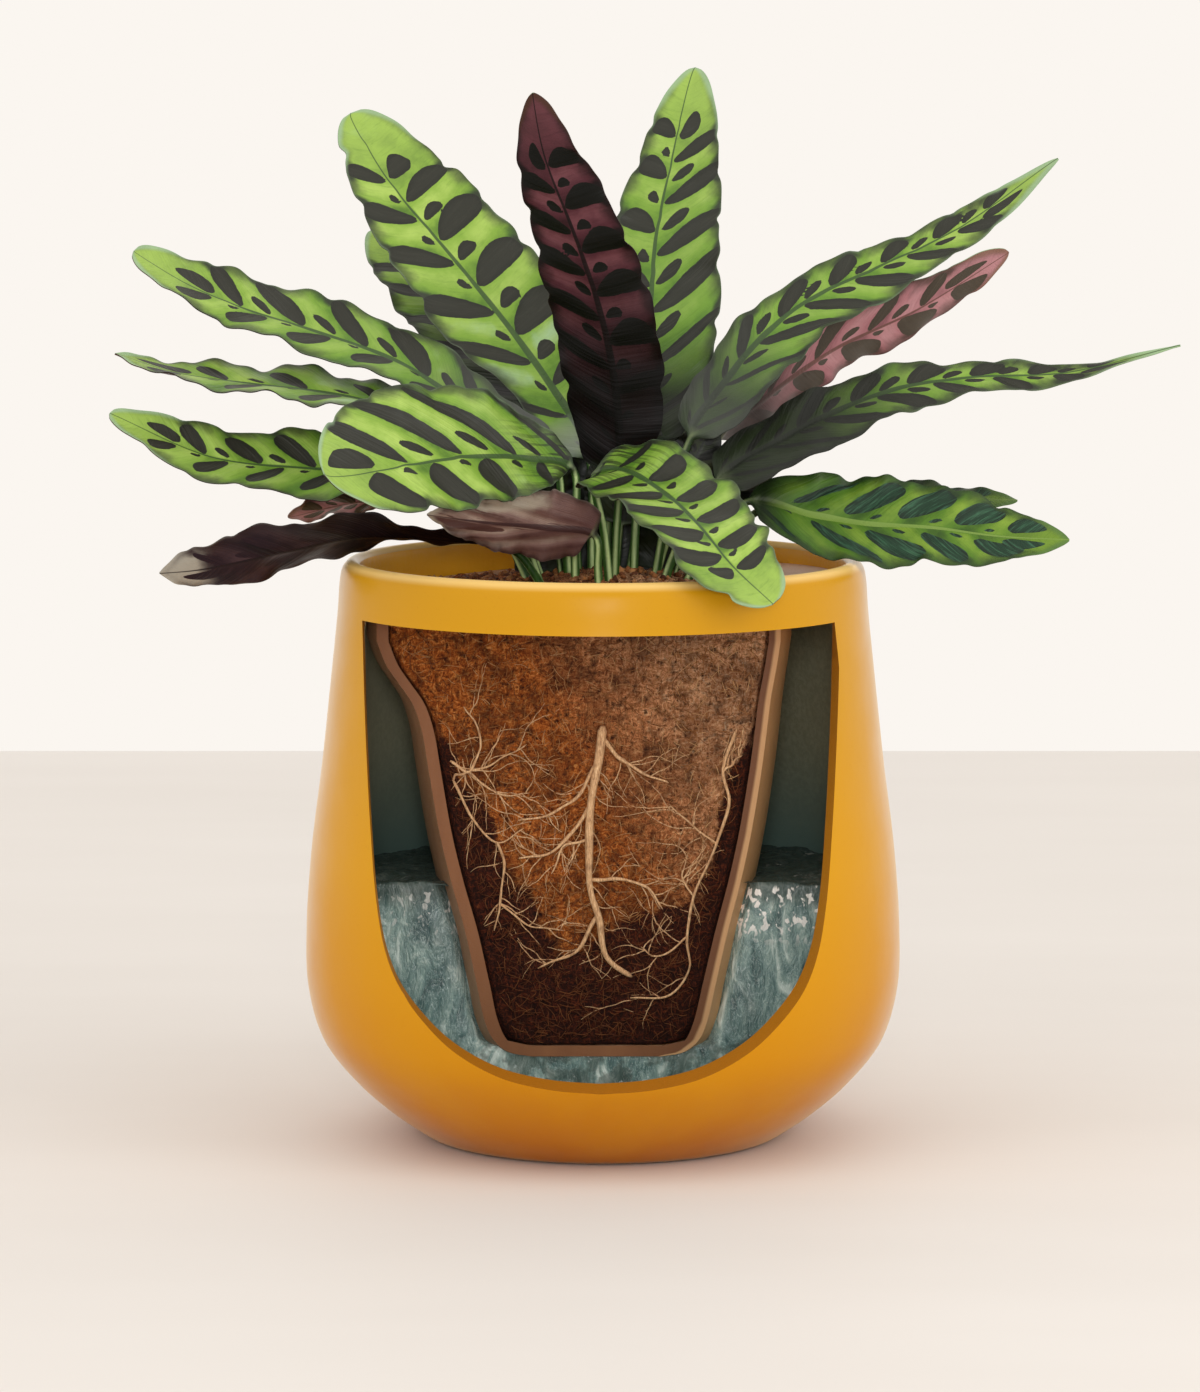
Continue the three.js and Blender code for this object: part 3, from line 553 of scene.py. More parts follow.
class Finish:
    """One material: a shader and the nodes that feed it. Inputs are numbers, colours or sockets."""

    def __init__(self, name, **fixed):
        self.material = bpy.data.materials.new(name)
        self.material.use_nodes = True
        self.nodes = self.material.node_tree.nodes
        self.links = self.material.node_tree.links
        self.shader = self.nodes["Principled BSDF"]
        for socket, value in fixed.items():
            self.set(socket.replace("_", " "), value)

    def feed(self, socket, value):
        if isinstance(value, bpy.types.NodeSocket):
            self.links.new(value, socket)
        else:
            socket.default_value = tone(*value) if socket.type == "RGBA" else value

    def add(self, kind, inputs, output=0, **settings):
        node = self.nodes.new("ShaderNode" + kind)
        for key, value in settings.items():
            setattr(node, key, value)
        for place, value in inputs.items():
            self.feed(node.inputs[place], value)
        return node.outputs[output]

    def set(self, socket, value):
        self.feed(self.shader.inputs[socket], value)

    def place(self):
        """The point's place on the object, in millimetres."""
        return self.scaled(self.add("TexCoord", {}, output="Object"), 1 / MM)

    def height_share(self, mm):
        return self.math("DIVIDE", self.axis(mm, "Z"), POT_HEIGHT)

    def scaled(self, vector, factor):
        return self.add("VectorMath", {0: vector, "Scale": factor}, operation="SCALE")

    def stretch(self, vector, *factors):
        return self.add("VectorMath", {0: vector, 1: factors}, operation="MULTIPLY")

    def axis(self, vector, name):
        return self.add("SeparateXYZ", {0: vector}, output=name)

    def join(self, x, y, z=0.0):
        return self.add("CombineXYZ", {0: x, 1: y, 2: z})

    def value(self, name):
        return self.add("Attribute", {}, output="Fac", attribute_name=name)

    def math(self, operation, a, b=0.0, c=0.0):
        return self.add("Math", {0: a, 1: b, 2: c}, operation=operation)

    plus = partialmethod(math, "ADD")
    minus = partialmethod(math, "SUBTRACT")
    times = partialmethod(math, "MULTIPLY")
    absolute = partialmethod(math, "ABSOLUTE")

    def noise(self, vector, size, detail=3.0, rough=0.55, warp=0.0):
        """Noise about 0.5, with its main wave size millimetres long."""
        inputs = {"Vector": vector, "Scale": 1 / size, "Detail": detail, "Roughness": rough}
        return self.add("TexNoise", {**inputs, "Distortion": warp})

    def sway(self, vector, size, reach):
        """Noise from -reach to reach, roughly."""
        return self.math("MULTIPLY_ADD", self.noise(vector, size), 2.6 * reach, -1.3 * reach)

    def centred(self, noise, factor):
        """Noise about 0.5 made noise about 0, factor times as strong."""
        return self.math("MULTIPLY_ADD", noise, factor, -factor / 2)

    def rise(self, value, low, high, bottom=0.0, top=1.0):
        """Goes smoothly from bottom to top as value goes from low to high."""
        inputs = {"Value": value, "From Min": low, "From Max": high, "To Min": bottom, "To Max": top}
        return self.add("MapRange", inputs, interpolation_type="SMOOTHSTEP")

    def mix(self, factor, a, b):
        return self.add("Mix", {0: factor, 6: a, 7: b}, output=2, data_type="RGBA")

    def paint(self, colour, *layers):
        """Lays colours over a colour. A layer is (factor, colour), or what rise takes, then the colour."""
        for *factor, over in layers:
            share = self.rise(*factor) if len(factor) > 1 else factor[0]
            colour = self.mix(share, colour, over)
        return colour

    def ramp(self, factor, *stops):
        """Stops are place, colour, place, colour and so on; a number is a grey of that value."""
        output = self.add("ValToRGB", {0: factor})
        ramp = output.node.color_ramp
        while len(ramp.elements) < len(stops) // 2:
            ramp.elements.new(0.5)
        for element, where, colour in zip(ramp.elements, stops[::2], stops[1::2]):
            element.position = where
            element.color = tone(*colour) if isinstance(colour, tuple) else (colour, colour, colour, 1.0)
        return output

    def done(self, colour, height=None, distance=0.0, strength=1.0):
        """Sets the colour and the relief, where height from 0 to 1 stands for distance millimetres."""
        self.set("Base Color", colour)
        if height is not None:
            inputs = {"Strength": strength, "Distance": distance * MM, "Height": height}
            self.set("Normal", self.add("Bump", inputs))
        return self.material


def glaze_finish():
    """Satin ochre glaze outside, darker towards the foot as painted shade, with a painted highlight along
    the lip.
    """
    f = Finish("glaze", Specular_IOR_Level=0.15, Sheen_Weight=0.25, Sheen_Roughness=0.2, Coat_Roughness=0.3)
    f.set("Sheen Tint", (255, 220, 150))
    mm = f.place()
    height = f.axis(mm, "Z")
    # The ramp darkens towards the foot: painted shade. The last layer is a painted highlight along the lip.
    colour = f.paint(
        f.ramp(
            f.height_share(mm),
            0.0, (182, 104, 0), 0.2, (208, 138, 0), 0.5, (214, 152, 2), 1.0, (204, 148, 20),
        ),
        (f.noise(mm, 45, 4), 0.35, 0.7, 0.0, 0.22, (214, 152, 8)),
        (f.noise(mm, 1.1, 2), 0.62, 0.75, 0.0, 0.1, (170, 100, 10)),
        (height, 211.5, 214.0, 0.0, 0.7, (250, 214, 136)),
    )
    f.set("Roughness", f.rise(f.noise(mm, 18, 4), 0.3, 0.7, 0.3, 0.4))
    f.set("Coat Weight", f.rise(f.add("LayerWeight", {"Blend": 0.5}, output="Facing"), 0.55, 1.0, 0.05, 1.0))
    return f.done(colour, f.plus(f.noise(mm, 30, 3), f.times(f.noise(mm, 2.2, 2), 0.05)), 0.5, 0.5)


def inner_glaze_finish():
    """The pot's inner wall: clear yellow by the rim, dark grey-green where it goes down to the water."""
    f = Finish("inner_glaze", Specular_IOR_Level=0.4)
    mm = f.place()
    height = f.axis(mm, "Z")
    grain = f.noise(mm, 2.0, 5, 0.7)
    green = f.mix(f.noise(f.stretch(mm, 1, 1, 0.35), 24, 4), (138, 140, 112), (192, 190, 160))
    yellow = f.mix(f.noise(mm, 26, 3), (250, 184, 6), (232, 160, 0))
    colour = f.paint(
        green,
        (f.axis(mm, "X"), -60, 60, 0.0, 0.6, (150, 148, 118)),
        (grain, 0.4, 0.62, 0.0, 0.35, (200, 200, 172)),
        (height, 90, 150, 1.0, 0.0, (112, 140, 132)),
        (height, 190, 199, yellow),
    )
    f.set("Roughness", f.rise(grain, 0.3, 0.7, 0.4, 0.6))
    return f.done(colour, grain, 0.15)


def cut_finish():
    """The cut edge of the outer pot's wall."""
    f = Finish("cut_edge", Specular_IOR_Level=0.3, Roughness=0.55)
    mm = f.place()
    grain = f.noise(mm, 0.9, 4, 0.7)
    colour = f.ramp(f.height_share(mm), 0.15, (170, 104, 4), 0.45, (190, 126, 12), 1.0, (172, 112, 16))
    return f.done(f.paint(colour, (grain, 0.35, 0.7, 0.0, 0.3, (150, 96, 20))), grain, 0.2)


def clay_finish(name, light, dark, rough, right=None, edge=None):
    """The brown inner pot, cut face or skin. right is its colour at the right, where light and shade are
    painted, and edge that of a painted highlight, a pale line along the outer edge of the cut there."""
    f = Finish(name, Specular_IOR_Level=0.45)
    mm = f.place()
    side = f.axis(mm, "X")
    grain = f.noise(mm, 0.8, 5, 0.7)
    flow = f.noise(f.stretch(mm, 1, 1, 0.15), 9, 4)
    colour = f.paint(f.mix(flow, dark, light), (grain, 0.55, 0.75, 0.0, 0.35, light))
    # The right colour is painted light: a painted highlight on the skin, painted shade on the cut face.
    if right:
        colour = f.paint(colour, (side, 0, 40, 0.0, 0.75, right))
    # A painted highlight: a pale line along the outer edge of the cut.
    if edge:
        stops = []
        for z, radius, shift in INSERT_OUTSIDE:
            stops += [z / POT_HEIGHT, (shift + math.sqrt(radius**2 - SECTION_Y**2)) / POT_HEIGHT]
        depth = f.minus(f.times(f.ramp(f.height_share(mm), *stops), POT_HEIGHT), side)
        colour = f.paint(colour, (depth, 1.2, 2.6, 0.9, 0.0, edge))
    f.set("Roughness", f.rise(grain, 0.3, 0.7, rough - 0.08, rough + 0.08))
    return f.done(colour, grain, 0.12)


def soil_finish():
    """Coir: orange-brown fibres, paler at the upper right, nearly black where it is wet."""
    f = Finish("potting_mix", Specular_IOR_Level=0.25, Roughness=0.9)
    mm = f.place()
    sway = f.add("TexNoise", {"Vector": mm, "Scale": 0.16, "Detail": 3.0}, output=1)
    bent = f.add("VectorMath", {0: mm, 1: f.scaled(sway, 5.0)}, operation="ADD")
    fibre = f.noise(f.stretch(bent, 1, 1, 0.28), 0.75, 4, 0.7)
    across = f.noise(f.stretch(bent, 0.26, 1, 1), 0.8, 4, 0.7)
    threads = f.math("MAXIMUM", fibre, across)
    crumb = f.noise(mm, 2.4, 6, 0.72)
    lump = f.add("TexVoronoi", {"Vector": bent, "Scale": 1 / 3.4})
    dry = f.ramp(threads, 0.36, (74, 28, 6), 0.48, (158, 76, 22), 0.58, (212, 120, 50), 0.7, (250, 182, 104))
    pale = f.ramp(
        threads, 0.36, (104, 60, 34), 0.48, (192, 132, 88), 0.6, (238, 184, 138), 0.72, (254, 226, 190),
    )
    wet = f.ramp(threads, 0.38, (18, 5, 2), 0.52, (56, 20, 9), 0.64, (108, 46, 20), 0.78, (150, 86, 46))
    shore = f.plus(f.value("wet"), f.centred(f.noise(mm, 16, 4), 1.9))
    colour = f.paint(
        dry,
        (f.value("pale"), pale),
        (f.noise(mm, 26, 4), 0.44, 0.62, 0.0, 0.5, (92, 44, 18)),
        (f.plus(shore, f.centred(crumb, 0.7)), 0.4, 0.62, wet),
        # The next two layers darken the crevices between crumbs and lumps, where the relief is low: painted
        # shade.
        (crumb, 0.33, 0.5, 0.85, 0.0, (34, 12, 5)),
        (lump, 0.5, 0.85, 0.0, 0.5, (38, 14, 6)),
    )
    return f.done(colour, f.minus(f.plus(threads, f.times(crumb, 1.6)), lump), 1.6)


def fibre_finish():
    """Loose coir threads and crumbs on the soil; shade says how pale each one is."""
    f = Finish("coir_thread", Specular_IOR_Level=0.3)
    f.set("Roughness", f.rise(f.noise(f.place(), 2, 2), 0.3, 0.7, 0.6, 0.8))
    return f.done(f.ramp(
        f.value("shade"), 0.0, (46, 18, 8), 0.35, (112, 62, 30), 0.7, (170, 112, 62), 1.0, (226, 180, 126),
    ))


def root_finish():
    f = Finish("root", Specular_IOR_Level=0.35, Roughness=0.7)
    mm = f.place()
    bark = f.noise(f.stretch(mm, 1, 1, 0.2), 0.5, 4, 0.7)
    colour = f.ramp(bark, 0.3, (150, 104, 72), 0.5, (214, 168, 122), 0.7, (250, 216, 168))
    return f.done(f.paint(colour, (f.noise(mm, 7, 3), 0.5, 0.75, 0.0, 0.55, (132, 92, 66))), bark, 0.3)


def water_finish():
    """Still water seen from the side: grey-green, with painted reflections of ripples as long bright
    wrinkles and pale patches, and a few painted glints by its top.
    """
    f = Finish("water", Specular_IOR_Level=0.6, Roughness=0.12)
    mm = f.place()
    height = f.axis(mm, "Z")
    side = f.axis(mm, "X")
    long = f.stretch(mm, 1, 1, 0.4)
    body = f.noise(long, 9, 5, 0.62, warp=1.2)
    fine = f.noise(long, 2.6, 4, 0.6, warp=2.0)
    deep = f.plus(f.noise(mm, 30, 3), f.rise(height, 50, 95, -0.05, 0.1))
    ripple_reflection = f.rise(f.absolute(f.minus(fine, 0.5)), 0.0, 0.03, 1.0, 0.0)
    # Painted glints: white highlights near the water's top, more of them towards the right.
    painted_glint = f.noise(f.stretch(mm, 1, 1, 0.75), 2.9, 2, 0.5, warp=0.4)
    painted_glint = f.rise(f.plus(painted_glint, f.rise(side, -20, 70, 0.0, 0.05)), 0.6, 0.65)
    glint_band = f.times(f.rise(height, 72, 84), f.rise(height, 95, WATER_LEVEL, 1.0, 0.0))
    glint_band = f.times(glint_band, f.rise(side, -90, 20, 0.3, 1.0))
    rock = f.times(f.rise(f.noise(mm, 8, 3), 0.45, 0.56), 0.6)
    # The ramp's palest stop and the bright wrinkles are painted reflections of ripples.
    colour = f.paint(
        f.ramp(
            body, 0.28, (44, 66, 68), 0.42, (104, 132, 130), 0.54, (146, 170, 164), 0.66, (230, 242, 234),
        ),
        (deep, 0.48, 0.66, 0.0, 0.65, (58, 82, 84)),
        (f.times(ripple_reflection, 0.4), (216, 232, 226)),
        (height, 86, 95, 0.0, 0.75, (52, 66, 60)),
        (f.times(painted_glint, glint_band), (255, 250, 244)),
        (f.times(f.rise(height, 44, 37), rock), (78, 88, 80)),
    )
    return f.done(colour, f.plus(body, f.times(fine, 0.4)), 1.6)


# Leaf faces: (name, gloss, how streaky the blotches are, colours in the order that leaf_finish takes them)
LEAF_FACES = {
    "green": ("leaf_green_face", 0.4, 0.25, [
        (78, 116, 34), (134, 172, 60), (176, 206, 98), (92, 138, 38), (32, 34, 25), (42, 43, 34),
        (64, 65, 54), (44, 52, 36), (164, 196, 156), (56, 82, 42), (16, 19, 12),
    ]),
    "purple": ("leaf_purple_back", 0.15, 0.2, [
        (40, 17, 22), (76, 36, 44), (112, 66, 72), (46, 18, 26), (12, 12, 8), (8, 9, 5), (26, 20, 18),
        (16, 8, 8), (72, 48, 32), (18, 10, 11), (4, 3, 3),
    ]),
    "rose": ("leaf_rose_back", 0.4, 0.2, [
        (130, 78, 84), (174, 114, 120), (192, 140, 144), (152, 92, 98), (60, 50, 36), (66, 56, 42),
        (84, 70, 58), (74, 50, 42), (126, 88, 62), (104, 66, 58), (44, 30, 28),
    ]),
    "mauve": ("leaf_mauve_back", 0.4, 0.5, [
        (96, 66, 62), (142, 110, 100), (200, 178, 160), (110, 76, 74), (104, 74, 68), (96, 66, 62),
        (110, 80, 74), (66, 44, 40), (200, 192, 172), (74, 50, 50), (40, 26, 30),
    ]),
    "deep": ("leaf_deep_green_face", 0.4, 0.6, [
        (46, 80, 10), (82, 124, 22), (132, 164, 50), (58, 98, 14), (4, 30, 12), (10, 50, 28),
        (72, 126, 92), (30, 54, 18), (86, 122, 56), (122, 152, 66), (24, 38, 14),
    ]),
    "plum": ("leaf_plum_back", 0.15, 0.5, [
        (20, 9, 15), (36, 19, 27), (66, 46, 50), (22, 10, 16), (36, 18, 27), (30, 14, 22), (58, 38, 44),
        (48, 32, 34), (176, 170, 156), (28, 16, 20), (12, 8, 10),
    ]),
}
MIST = (176, 182, 176)
# Stem colours: lit is a painted highlight down the stem, turned is painted shade on its sides, then flecks.
STEM_COLOURS = [(206, 232, 160), (46, 86, 26), (84, 130, 46)]


def leaf_finish(name, gloss, streaky, colours):
    """A leaf face, and the stem that goes with it."""
    ground, middle, bright, low, blotch, blotch_middle, blotch_streak, margin, tip, rib, base = colours
    f = Finish(name, Specular_IOR_Level=gloss)
    mm = f.place()
    along, across, edge, vein, glow = (f.value(key) for key in ("along", "across", "edge", "vein", "glow"))
    streak = f.noise(f.join(vein, f.times(across, 0.16), along), 1.1, 4, 0.65)
    # patch follows glow: the ground is painted lighter just below each large blotch and darker just above
    # the next, as painted highlight and painted shade.
    patch = f.plus(glow, f.sway(mm, 8, 0.5))
    # pale carries painted highlights below the blotches of the lower blade, with the pale tip and the pale
    # patch.
    pale = f.plus(f.value("pale"), f.sway(mm, 6, 0.2))
    shadow = f.minus(f.plus(f.rise(glow, 0.3, 1.0, 0.0, 2.6), f.sway(mm, 5, 1.6)), edge)
    near = f.plus(f.sway(mm, 6, 1.1), f.rise(f.value("blotch"), -4.0, 0.5, 0.2, 3.0))
    smudge = f.times(f.rise(f.minus(near, edge), -1.6, 1.2, 0.0, 0.95), f.rise(along, 0.97, 0.85))
    mark = f.plus(f.value("blotch"), f.sway(mm, 3.2, 0.3))
    mark_colour = f.mix(f.rise(mark, 0.0, 3.0), blotch, blotch_middle)
    mark_colour = f.paint(mark_colour, (streak, 0.45, 0.75, 0.0, streaky, blotch_streak))
    thin = f.rise(f.noise(f.join(across, f.times(vein, 0.07)), 1.7, 2), 0.5, 0.56)
    # A painted rim highlight along the margin near the tip.
    tip_rim_highlight = f.minus(f.plus(f.rise(along, 0.82, 1.0, -0.7, 2.2), f.sway(mm, 14, 0.9)), edge)
    rib_band = f.minus(f.rise(along, 0.0, 1.0, 1.5, 0.14), f.absolute(across))
    blade = f.paint(
        f.mix(f.rise(patch, -0.2, 0.5), ground, middle),
        (patch, 0.45, 1.25, 0.0, 0.9, bright),
        (along, 0.7, 1.0, 0.0, 0.6, bright),
        (f.value("deep"), low),
        (streak, 0.48, 0.75, 0.0, 0.3, ground),
        (pale, 0.45, 1.0, 0.0, 0.8, tip),
        (shadow, -4.0, 1.5, 0.0, 0.75, margin),
        (smudge, margin),
        (mark, -0.1, 0.16, mark_colour),
        (f.times(thin, f.times(f.value("lines"), 0.85)), blotch),
        (tip_rim_highlight, -1.4, 1.2, 0.0, 0.7, tip),
        (rib_band, -0.2, 0.12, 0.0, 0.92, rib),
        (f.value("shade"), base),
        (f.value("mist"), MIST),
    )
    lit, turned, flecks = STEM_COLOURS
    # Across the stem: a painted highlight in the middle and painted shade on the sides.
    stem = f.paint(
        f.mix(f.rise(f.absolute(f.value("round")), 0.1, 0.75), lit, turned),
        (f.noise(f.stretch(mm, 1, 1, 0.1), 1.4, 3), 0.4, 0.7, 0.0, 0.4, flecks),
        (f.times(f.value("shade"), 0.85), base),
    )
    f.set("Roughness", f.rise(f.noise(mm, 9, 3), 0.3, 0.7, 0.38, 0.5))
    ridges = f.noise(f.join(vein, f.times(across, 0.05)), 1.6, 2)
    return f.done(f.mix(f.value("stem"), blade, stem), ridges, 0.35, 0.8)


# Leaves


def blade_width(along, full):
    """The blade's width at a share of its length, as a share of its widest."""
    base_full, tip_full = full
    widest = base_full / (base_full + tip_full)
    peak = widest**base_full * (1 - widest) ** tip_full
    return along**base_full * (1 - along) ** tip_full / peak


def blotch_places(leaf, side):
    """Where the large blotches of one half meet the rib, from the tip down, as shares of the length."""
    step = FIRST_BLOTCH / (leaf["pairs"] - 0.3) ** leaf["even"]
    lag = SECOND_SIDE_LAG * step if side > 0 else 0
    return [FIRST_BLOTCH - lag - step * k ** leaf["even"] for k in range(leaf["pairs"] + 1)]


def slanted(lean, out, share):
    """How far towards the tip a blotch has moved at out millimetres from the rib, share of its way out."""
    return lean * out * (0.6 + 0.4 * share)


def blotch_list(leaf, length, rng):
    """Blotches: (place on the rib, side, start and end as shares of the half width, half thickness in
    millimetres, lean, how wedge-shaped)."""
    plain_wedge = USUAL_LEAF["wedge"][0]
    marks = []
    for i, side in enumerate((-1, 1)):
        lean, reach, small = leaf["lean"][i], leaf["reach"][i], leaf["small"][i]
        slant = (1 + lean * lean) ** 0.25
        places = blotch_places(leaf, side)
        if side > 0:
            thick = 0.24 * (places[0] - places[1]) * length
            marks.append((FIRST_BLOTCH * length, side, 0.06, 0.55, thick, lean, plain_wedge))
        for place, after in zip(places, places[1:]):
            spacing = (place - after) * length
            at = (place + rng.uniform(-0.004, 0.004)) * length
            low = min(max((place - 0.02) / 0.3, 0.35), 1)
            thick = spacing * leaf["fat"][i] * 1.15 / slant * rng.uniform(0.9, 1.12) * low
            own_lean = (lean + 0.5 * (1 - low)) * rng.uniform(0.9, 1.1)
            end = reach * rng.uniform(0.95, 1.04)
            marks.append((at, side, leaf["start"], end, thick, own_lean, leaf["wedge"][i]))
            first = rng.uniform(0.05, 0.09)
            long = small * rng.uniform(0.85, 1.15)
            thick = spacing * (0.05 + 0.2 * small) * low / slant
            at = at - spacing * rng.uniform(0.46, 0.54)
            marks.append((at, side, first, first + long, thick, own_lean, plain_wedge))
    return marks


def blotch_depth(x, share, half, marks):
    """How far inside the nearest blotch each point lies, in millimetres; outside it is negative."""
    depth = np.full(x.shape, FAR_OUT)
    for at, side, start, end, thick, lean, wedge in marks:
        own = share * side
        q = (own - start) / (end - start)
        inside = np.clip(q, 0.0, 1.0)
        profile = blade_width(inside, (wedge, 0.5))
        reach = np.clip(own, 0, None) * half
        axis = at + slanted(lean, reach, inside) + 0.5 * thick * np.sin(math.pi * inside)
        off = np.abs(x - axis) / math.sqrt(1 + lean**2)
        past = np.abs(q - inside) * (end - start) * half
        depth = np.maximum(depth, np.where(q < -0.2, FAR_OUT, thick * profile - off - past))
    return depth


# The leaf paint uses this for painted highlights below the blotches and painted shade above them; the
# surface uses it for the quilted relief.
def glow_between(leaf, x, share, half, length):
    """1 just below each large blotch, 0 just above the next, swinging smoothly between."""
    glow = np.zeros(x.shape)
    for i, side in enumerate((-1, 1)):
        places = np.array(blotch_places(leaf, side)) * length
        own = np.clip(share * side, 0, None)
        root = x - slanted(leaf["lean"][i], own * half, own)
        turn = np.interp(root, places[::-1], np.arange(len(places))[::-1])
        glow = np.where(share * side > 0, 0.5 + 0.5 * np.cos(TURN * (turn - 0.33)), glow)
    return glow


def scalloped(leaf, x, across, half, length, rng):
    """How much of the half width is left, pinched where a large blotch meets the margin."""
    left = np.ones(x.shape)
    notch_side, notch_place, notch_depth = leaf["notch"]
    for i, side in enumerate((-1, 1)):
        pinch = np.zeros(x.shape)
        for place in blotch_places(leaf, side):
            middle = place * length + leaf["lean"][i] * half
            depth, spread = rng.uniform(*PINCH_DEPTH), rng.uniform(*PINCH_REACH)
            pinch = np.maximum(pinch, depth * bell((x - middle) / spread))
        phase = rng.uniform(0, 6.28)
        pinch += MARGIN_RIPPLE * np.sin(x / 2.3 + phase) + MARGIN_RIPPLE * np.sin(x / 4.1 + 2 * phase)
        if notch_side == side:
            pinch += notch_depth * bell((x / length - notch_place) / 0.016)
        left = np.where(across * side > 0, 1 - pinch, left)
    return left


class Blade:
    """A leaf as a grid from the soil to the tip: rows go along it and columns across.

    s goes from 0 at the blade's base to 1 at its tip, x is the same in millimetres, u goes from -1 to 1
    across, and stem falls from 1 at the soil to 0 where the blade begins.
    """

    def __init__(self, leaf, index, rng):
        self.leaf = leaf
        self.index = index
        self.rng = rng
        self.lay_spine()
        self.spread()

    def lay_spine(self):
        """The middle line, the directions of the face and the side, and how far along each row is."""
        leaf = self.leaf
        stem_rows, blade_rows, _ = leaf["detail"]
        first = np.array(leaf["rib"][0], float)
        low = np.array((*leaf["foot"], STEM_FOOT), float)
        points = [low, low + (first - low) * STEM_PART, *leaf["rib"]]
        start = 2 / (len(points) - 1)
        up_stem = np.linspace(0, 1, stem_rows, endpoint=False)
        along = 0.5 - 0.5 * np.cos(np.linspace(0, math.pi, blade_rows))
        along = 0.4 * along + 0.6 * np.linspace(0, 1, blade_rows)
        places = np.concatenate([up_stem * start, start + (1 - start) * along])
        self.middle, tangent = curve_through(points, places)
        self.stem = np.concatenate([1 - up_stem, np.zeros(blade_rows)])[:, None]
        self.s = np.concatenate([np.zeros(stem_rows), along])[:, None]
        steps = np.linalg.norm(np.diff(self.middle, axis=0), axis=1)
        travelled = np.concatenate([[0], np.cumsum(steps)])
        self.x = (travelled - travelled[stem_rows])[:, None]
        self.length = travelled[-1] - travelled[stem_rows]
        face0, face1 = (np.array(v, float) for v in leaf["face"])
        face = face0 + (face1 - face0) * self.s
        self.face = unit(face - tangent * np.sum(face * tangent, axis=1)[:, None])
        self.side = np.cross(tangent, self.face)

    def spread(self):
        """The half width at each point, and where each point lies between the rib and the margin."""
        leaf = self.leaf
        u = np.linspace(-1, 1, leaf["detail"][2] + 1)[None, :]
        self.s, self.x, self.stem, self.u = np.broadcast_arrays(self.s, self.x, self.stem, u)
        self.on_blade = self.stem == 0
        half = leaf["width"] / 2 * blade_width(np.clip(self.s, 1e-5, 1), leaf["full"])
        half = half * scalloped(leaf, self.x, self.u, half, self.length, self.rng)
        slim_side, place, reach, depth = leaf["slim"]
        slim = bell((self.s - place) / reach) * np.clip(self.u * slim_side * 3, 0, 1)
        half = half * (1 - depth * slim)
        self.half = np.where(self.on_blade, np.maximum(half, SMALLEST_HALF), 0)
        base_shift, tip_shift = leaf["off_centre"]
        middle_u = base_shift + (tip_shift - base_shift) * self.s
        from_rib = self.u - middle_u
        self.own_half = self.half * np.where(from_rib < 0, 1 + middle_u, 1 - middle_u)
        self.rib_mm = from_rib * self.half
        self.share = self.rib_mm / np.maximum(self.own_half, 1e-6)
        self.glow = glow_between(leaf, self.x, self.share, self.own_half, self.length)

    def surface(self):
        """How far the blade's middle layer stands off the flat, and the groove along its rib."""
        s, u = self.s, self.u
        ripple = EDGE_RIPPLE * np.sqrt(np.clip(np.sin(math.pi * s), 0, 1))
        turn = TURN * EDGE_WAVES * s + self.index * 1.3 + np.where(u > 0, 2.1, 0)
        quick_turn = TURN * QUICK_WAVES * s + self.index * 2.1 + np.where(u > 0, 1.0, 0)
        lift = BLADE_FOLD * self.half * (np.sqrt(u * u + 0.01) - 0.1) + ripple * u * u * np.sin(turn)
        lift += 0.35 * ripple * u**4 * np.sin(quick_turn)
        lift += QUILT_HEIGHT * (self.glow - 0.5) * (1 - u**4) * np.clip(np.abs(self.rib_mm) / 4, 0, 1)
        return lift, GROOVE_DEPTH * bell(self.rib_mm / 1.1) * (1 - s)

    def rings(self):
        """Points around the leaf, first over its upper face and then back under it."""
        lift, groove = self.surface()
        flat = np.where(self.on_blade, np.clip(self.s / FLAT_FROM, 0, 1), 0)
        flat = flat * flat * (3 - 2 * flat)
        radius = STEM_RADIUS_HIGH + (STEM_RADIUS_LOW - STEM_RADIUS_HIGH) * self.stem
        radius = radius * self.leaf["stem_size"]
        columns = self.u.shape[1]
        self.angle = math.pi * (1 - (np.arange(columns) + 0.5) / columns)[None, :]
        rows = []
        for up, groove_part in ((1, 1), (-1, 0.9)):
            round_side = np.cos(self.angle) * radius
            round_face = np.sin(self.angle) * radius * up
            thick = HALF_THICKNESS - THINNER_MARGIN * self.u * self.u
            flat_face = lift - groove_part * groove + thick * up
            a = round_side + (self.u * self.half - round_side) * flat
            b = round_face + (flat_face - round_face) * flat
            across = self.side[:, None] * a[..., None]
            rows.append(self.middle[:, None] + across + self.face[:, None] * b[..., None])
        return np.concatenate([rows[0], rows[1][:, ::-1]], axis=1)

    def values(self):
        """What the materials read at each point."""
        leaf, s, u, half = self.leaf, self.s, self.u, self.half
        # Painted shade: the blade darkens towards its base, and where a leaf darkens much, its stem darkens
        # towards the top, in the shaded clump.
        dark = leaf["dark"]
        fade = np.clip(1 - s / max(dark, 0.02), 0, 1)
        shade = np.clip(1.7 * fade, 0, 1) * (0.95 if dark else 0)
        mist = fade**0.8 * leaf["mist"]
        lean = np.where(self.rib_mm < 0, *leaf["lean"])
        off_rib = np.clip(np.abs(self.rib_mm) / 5, 0, 1)
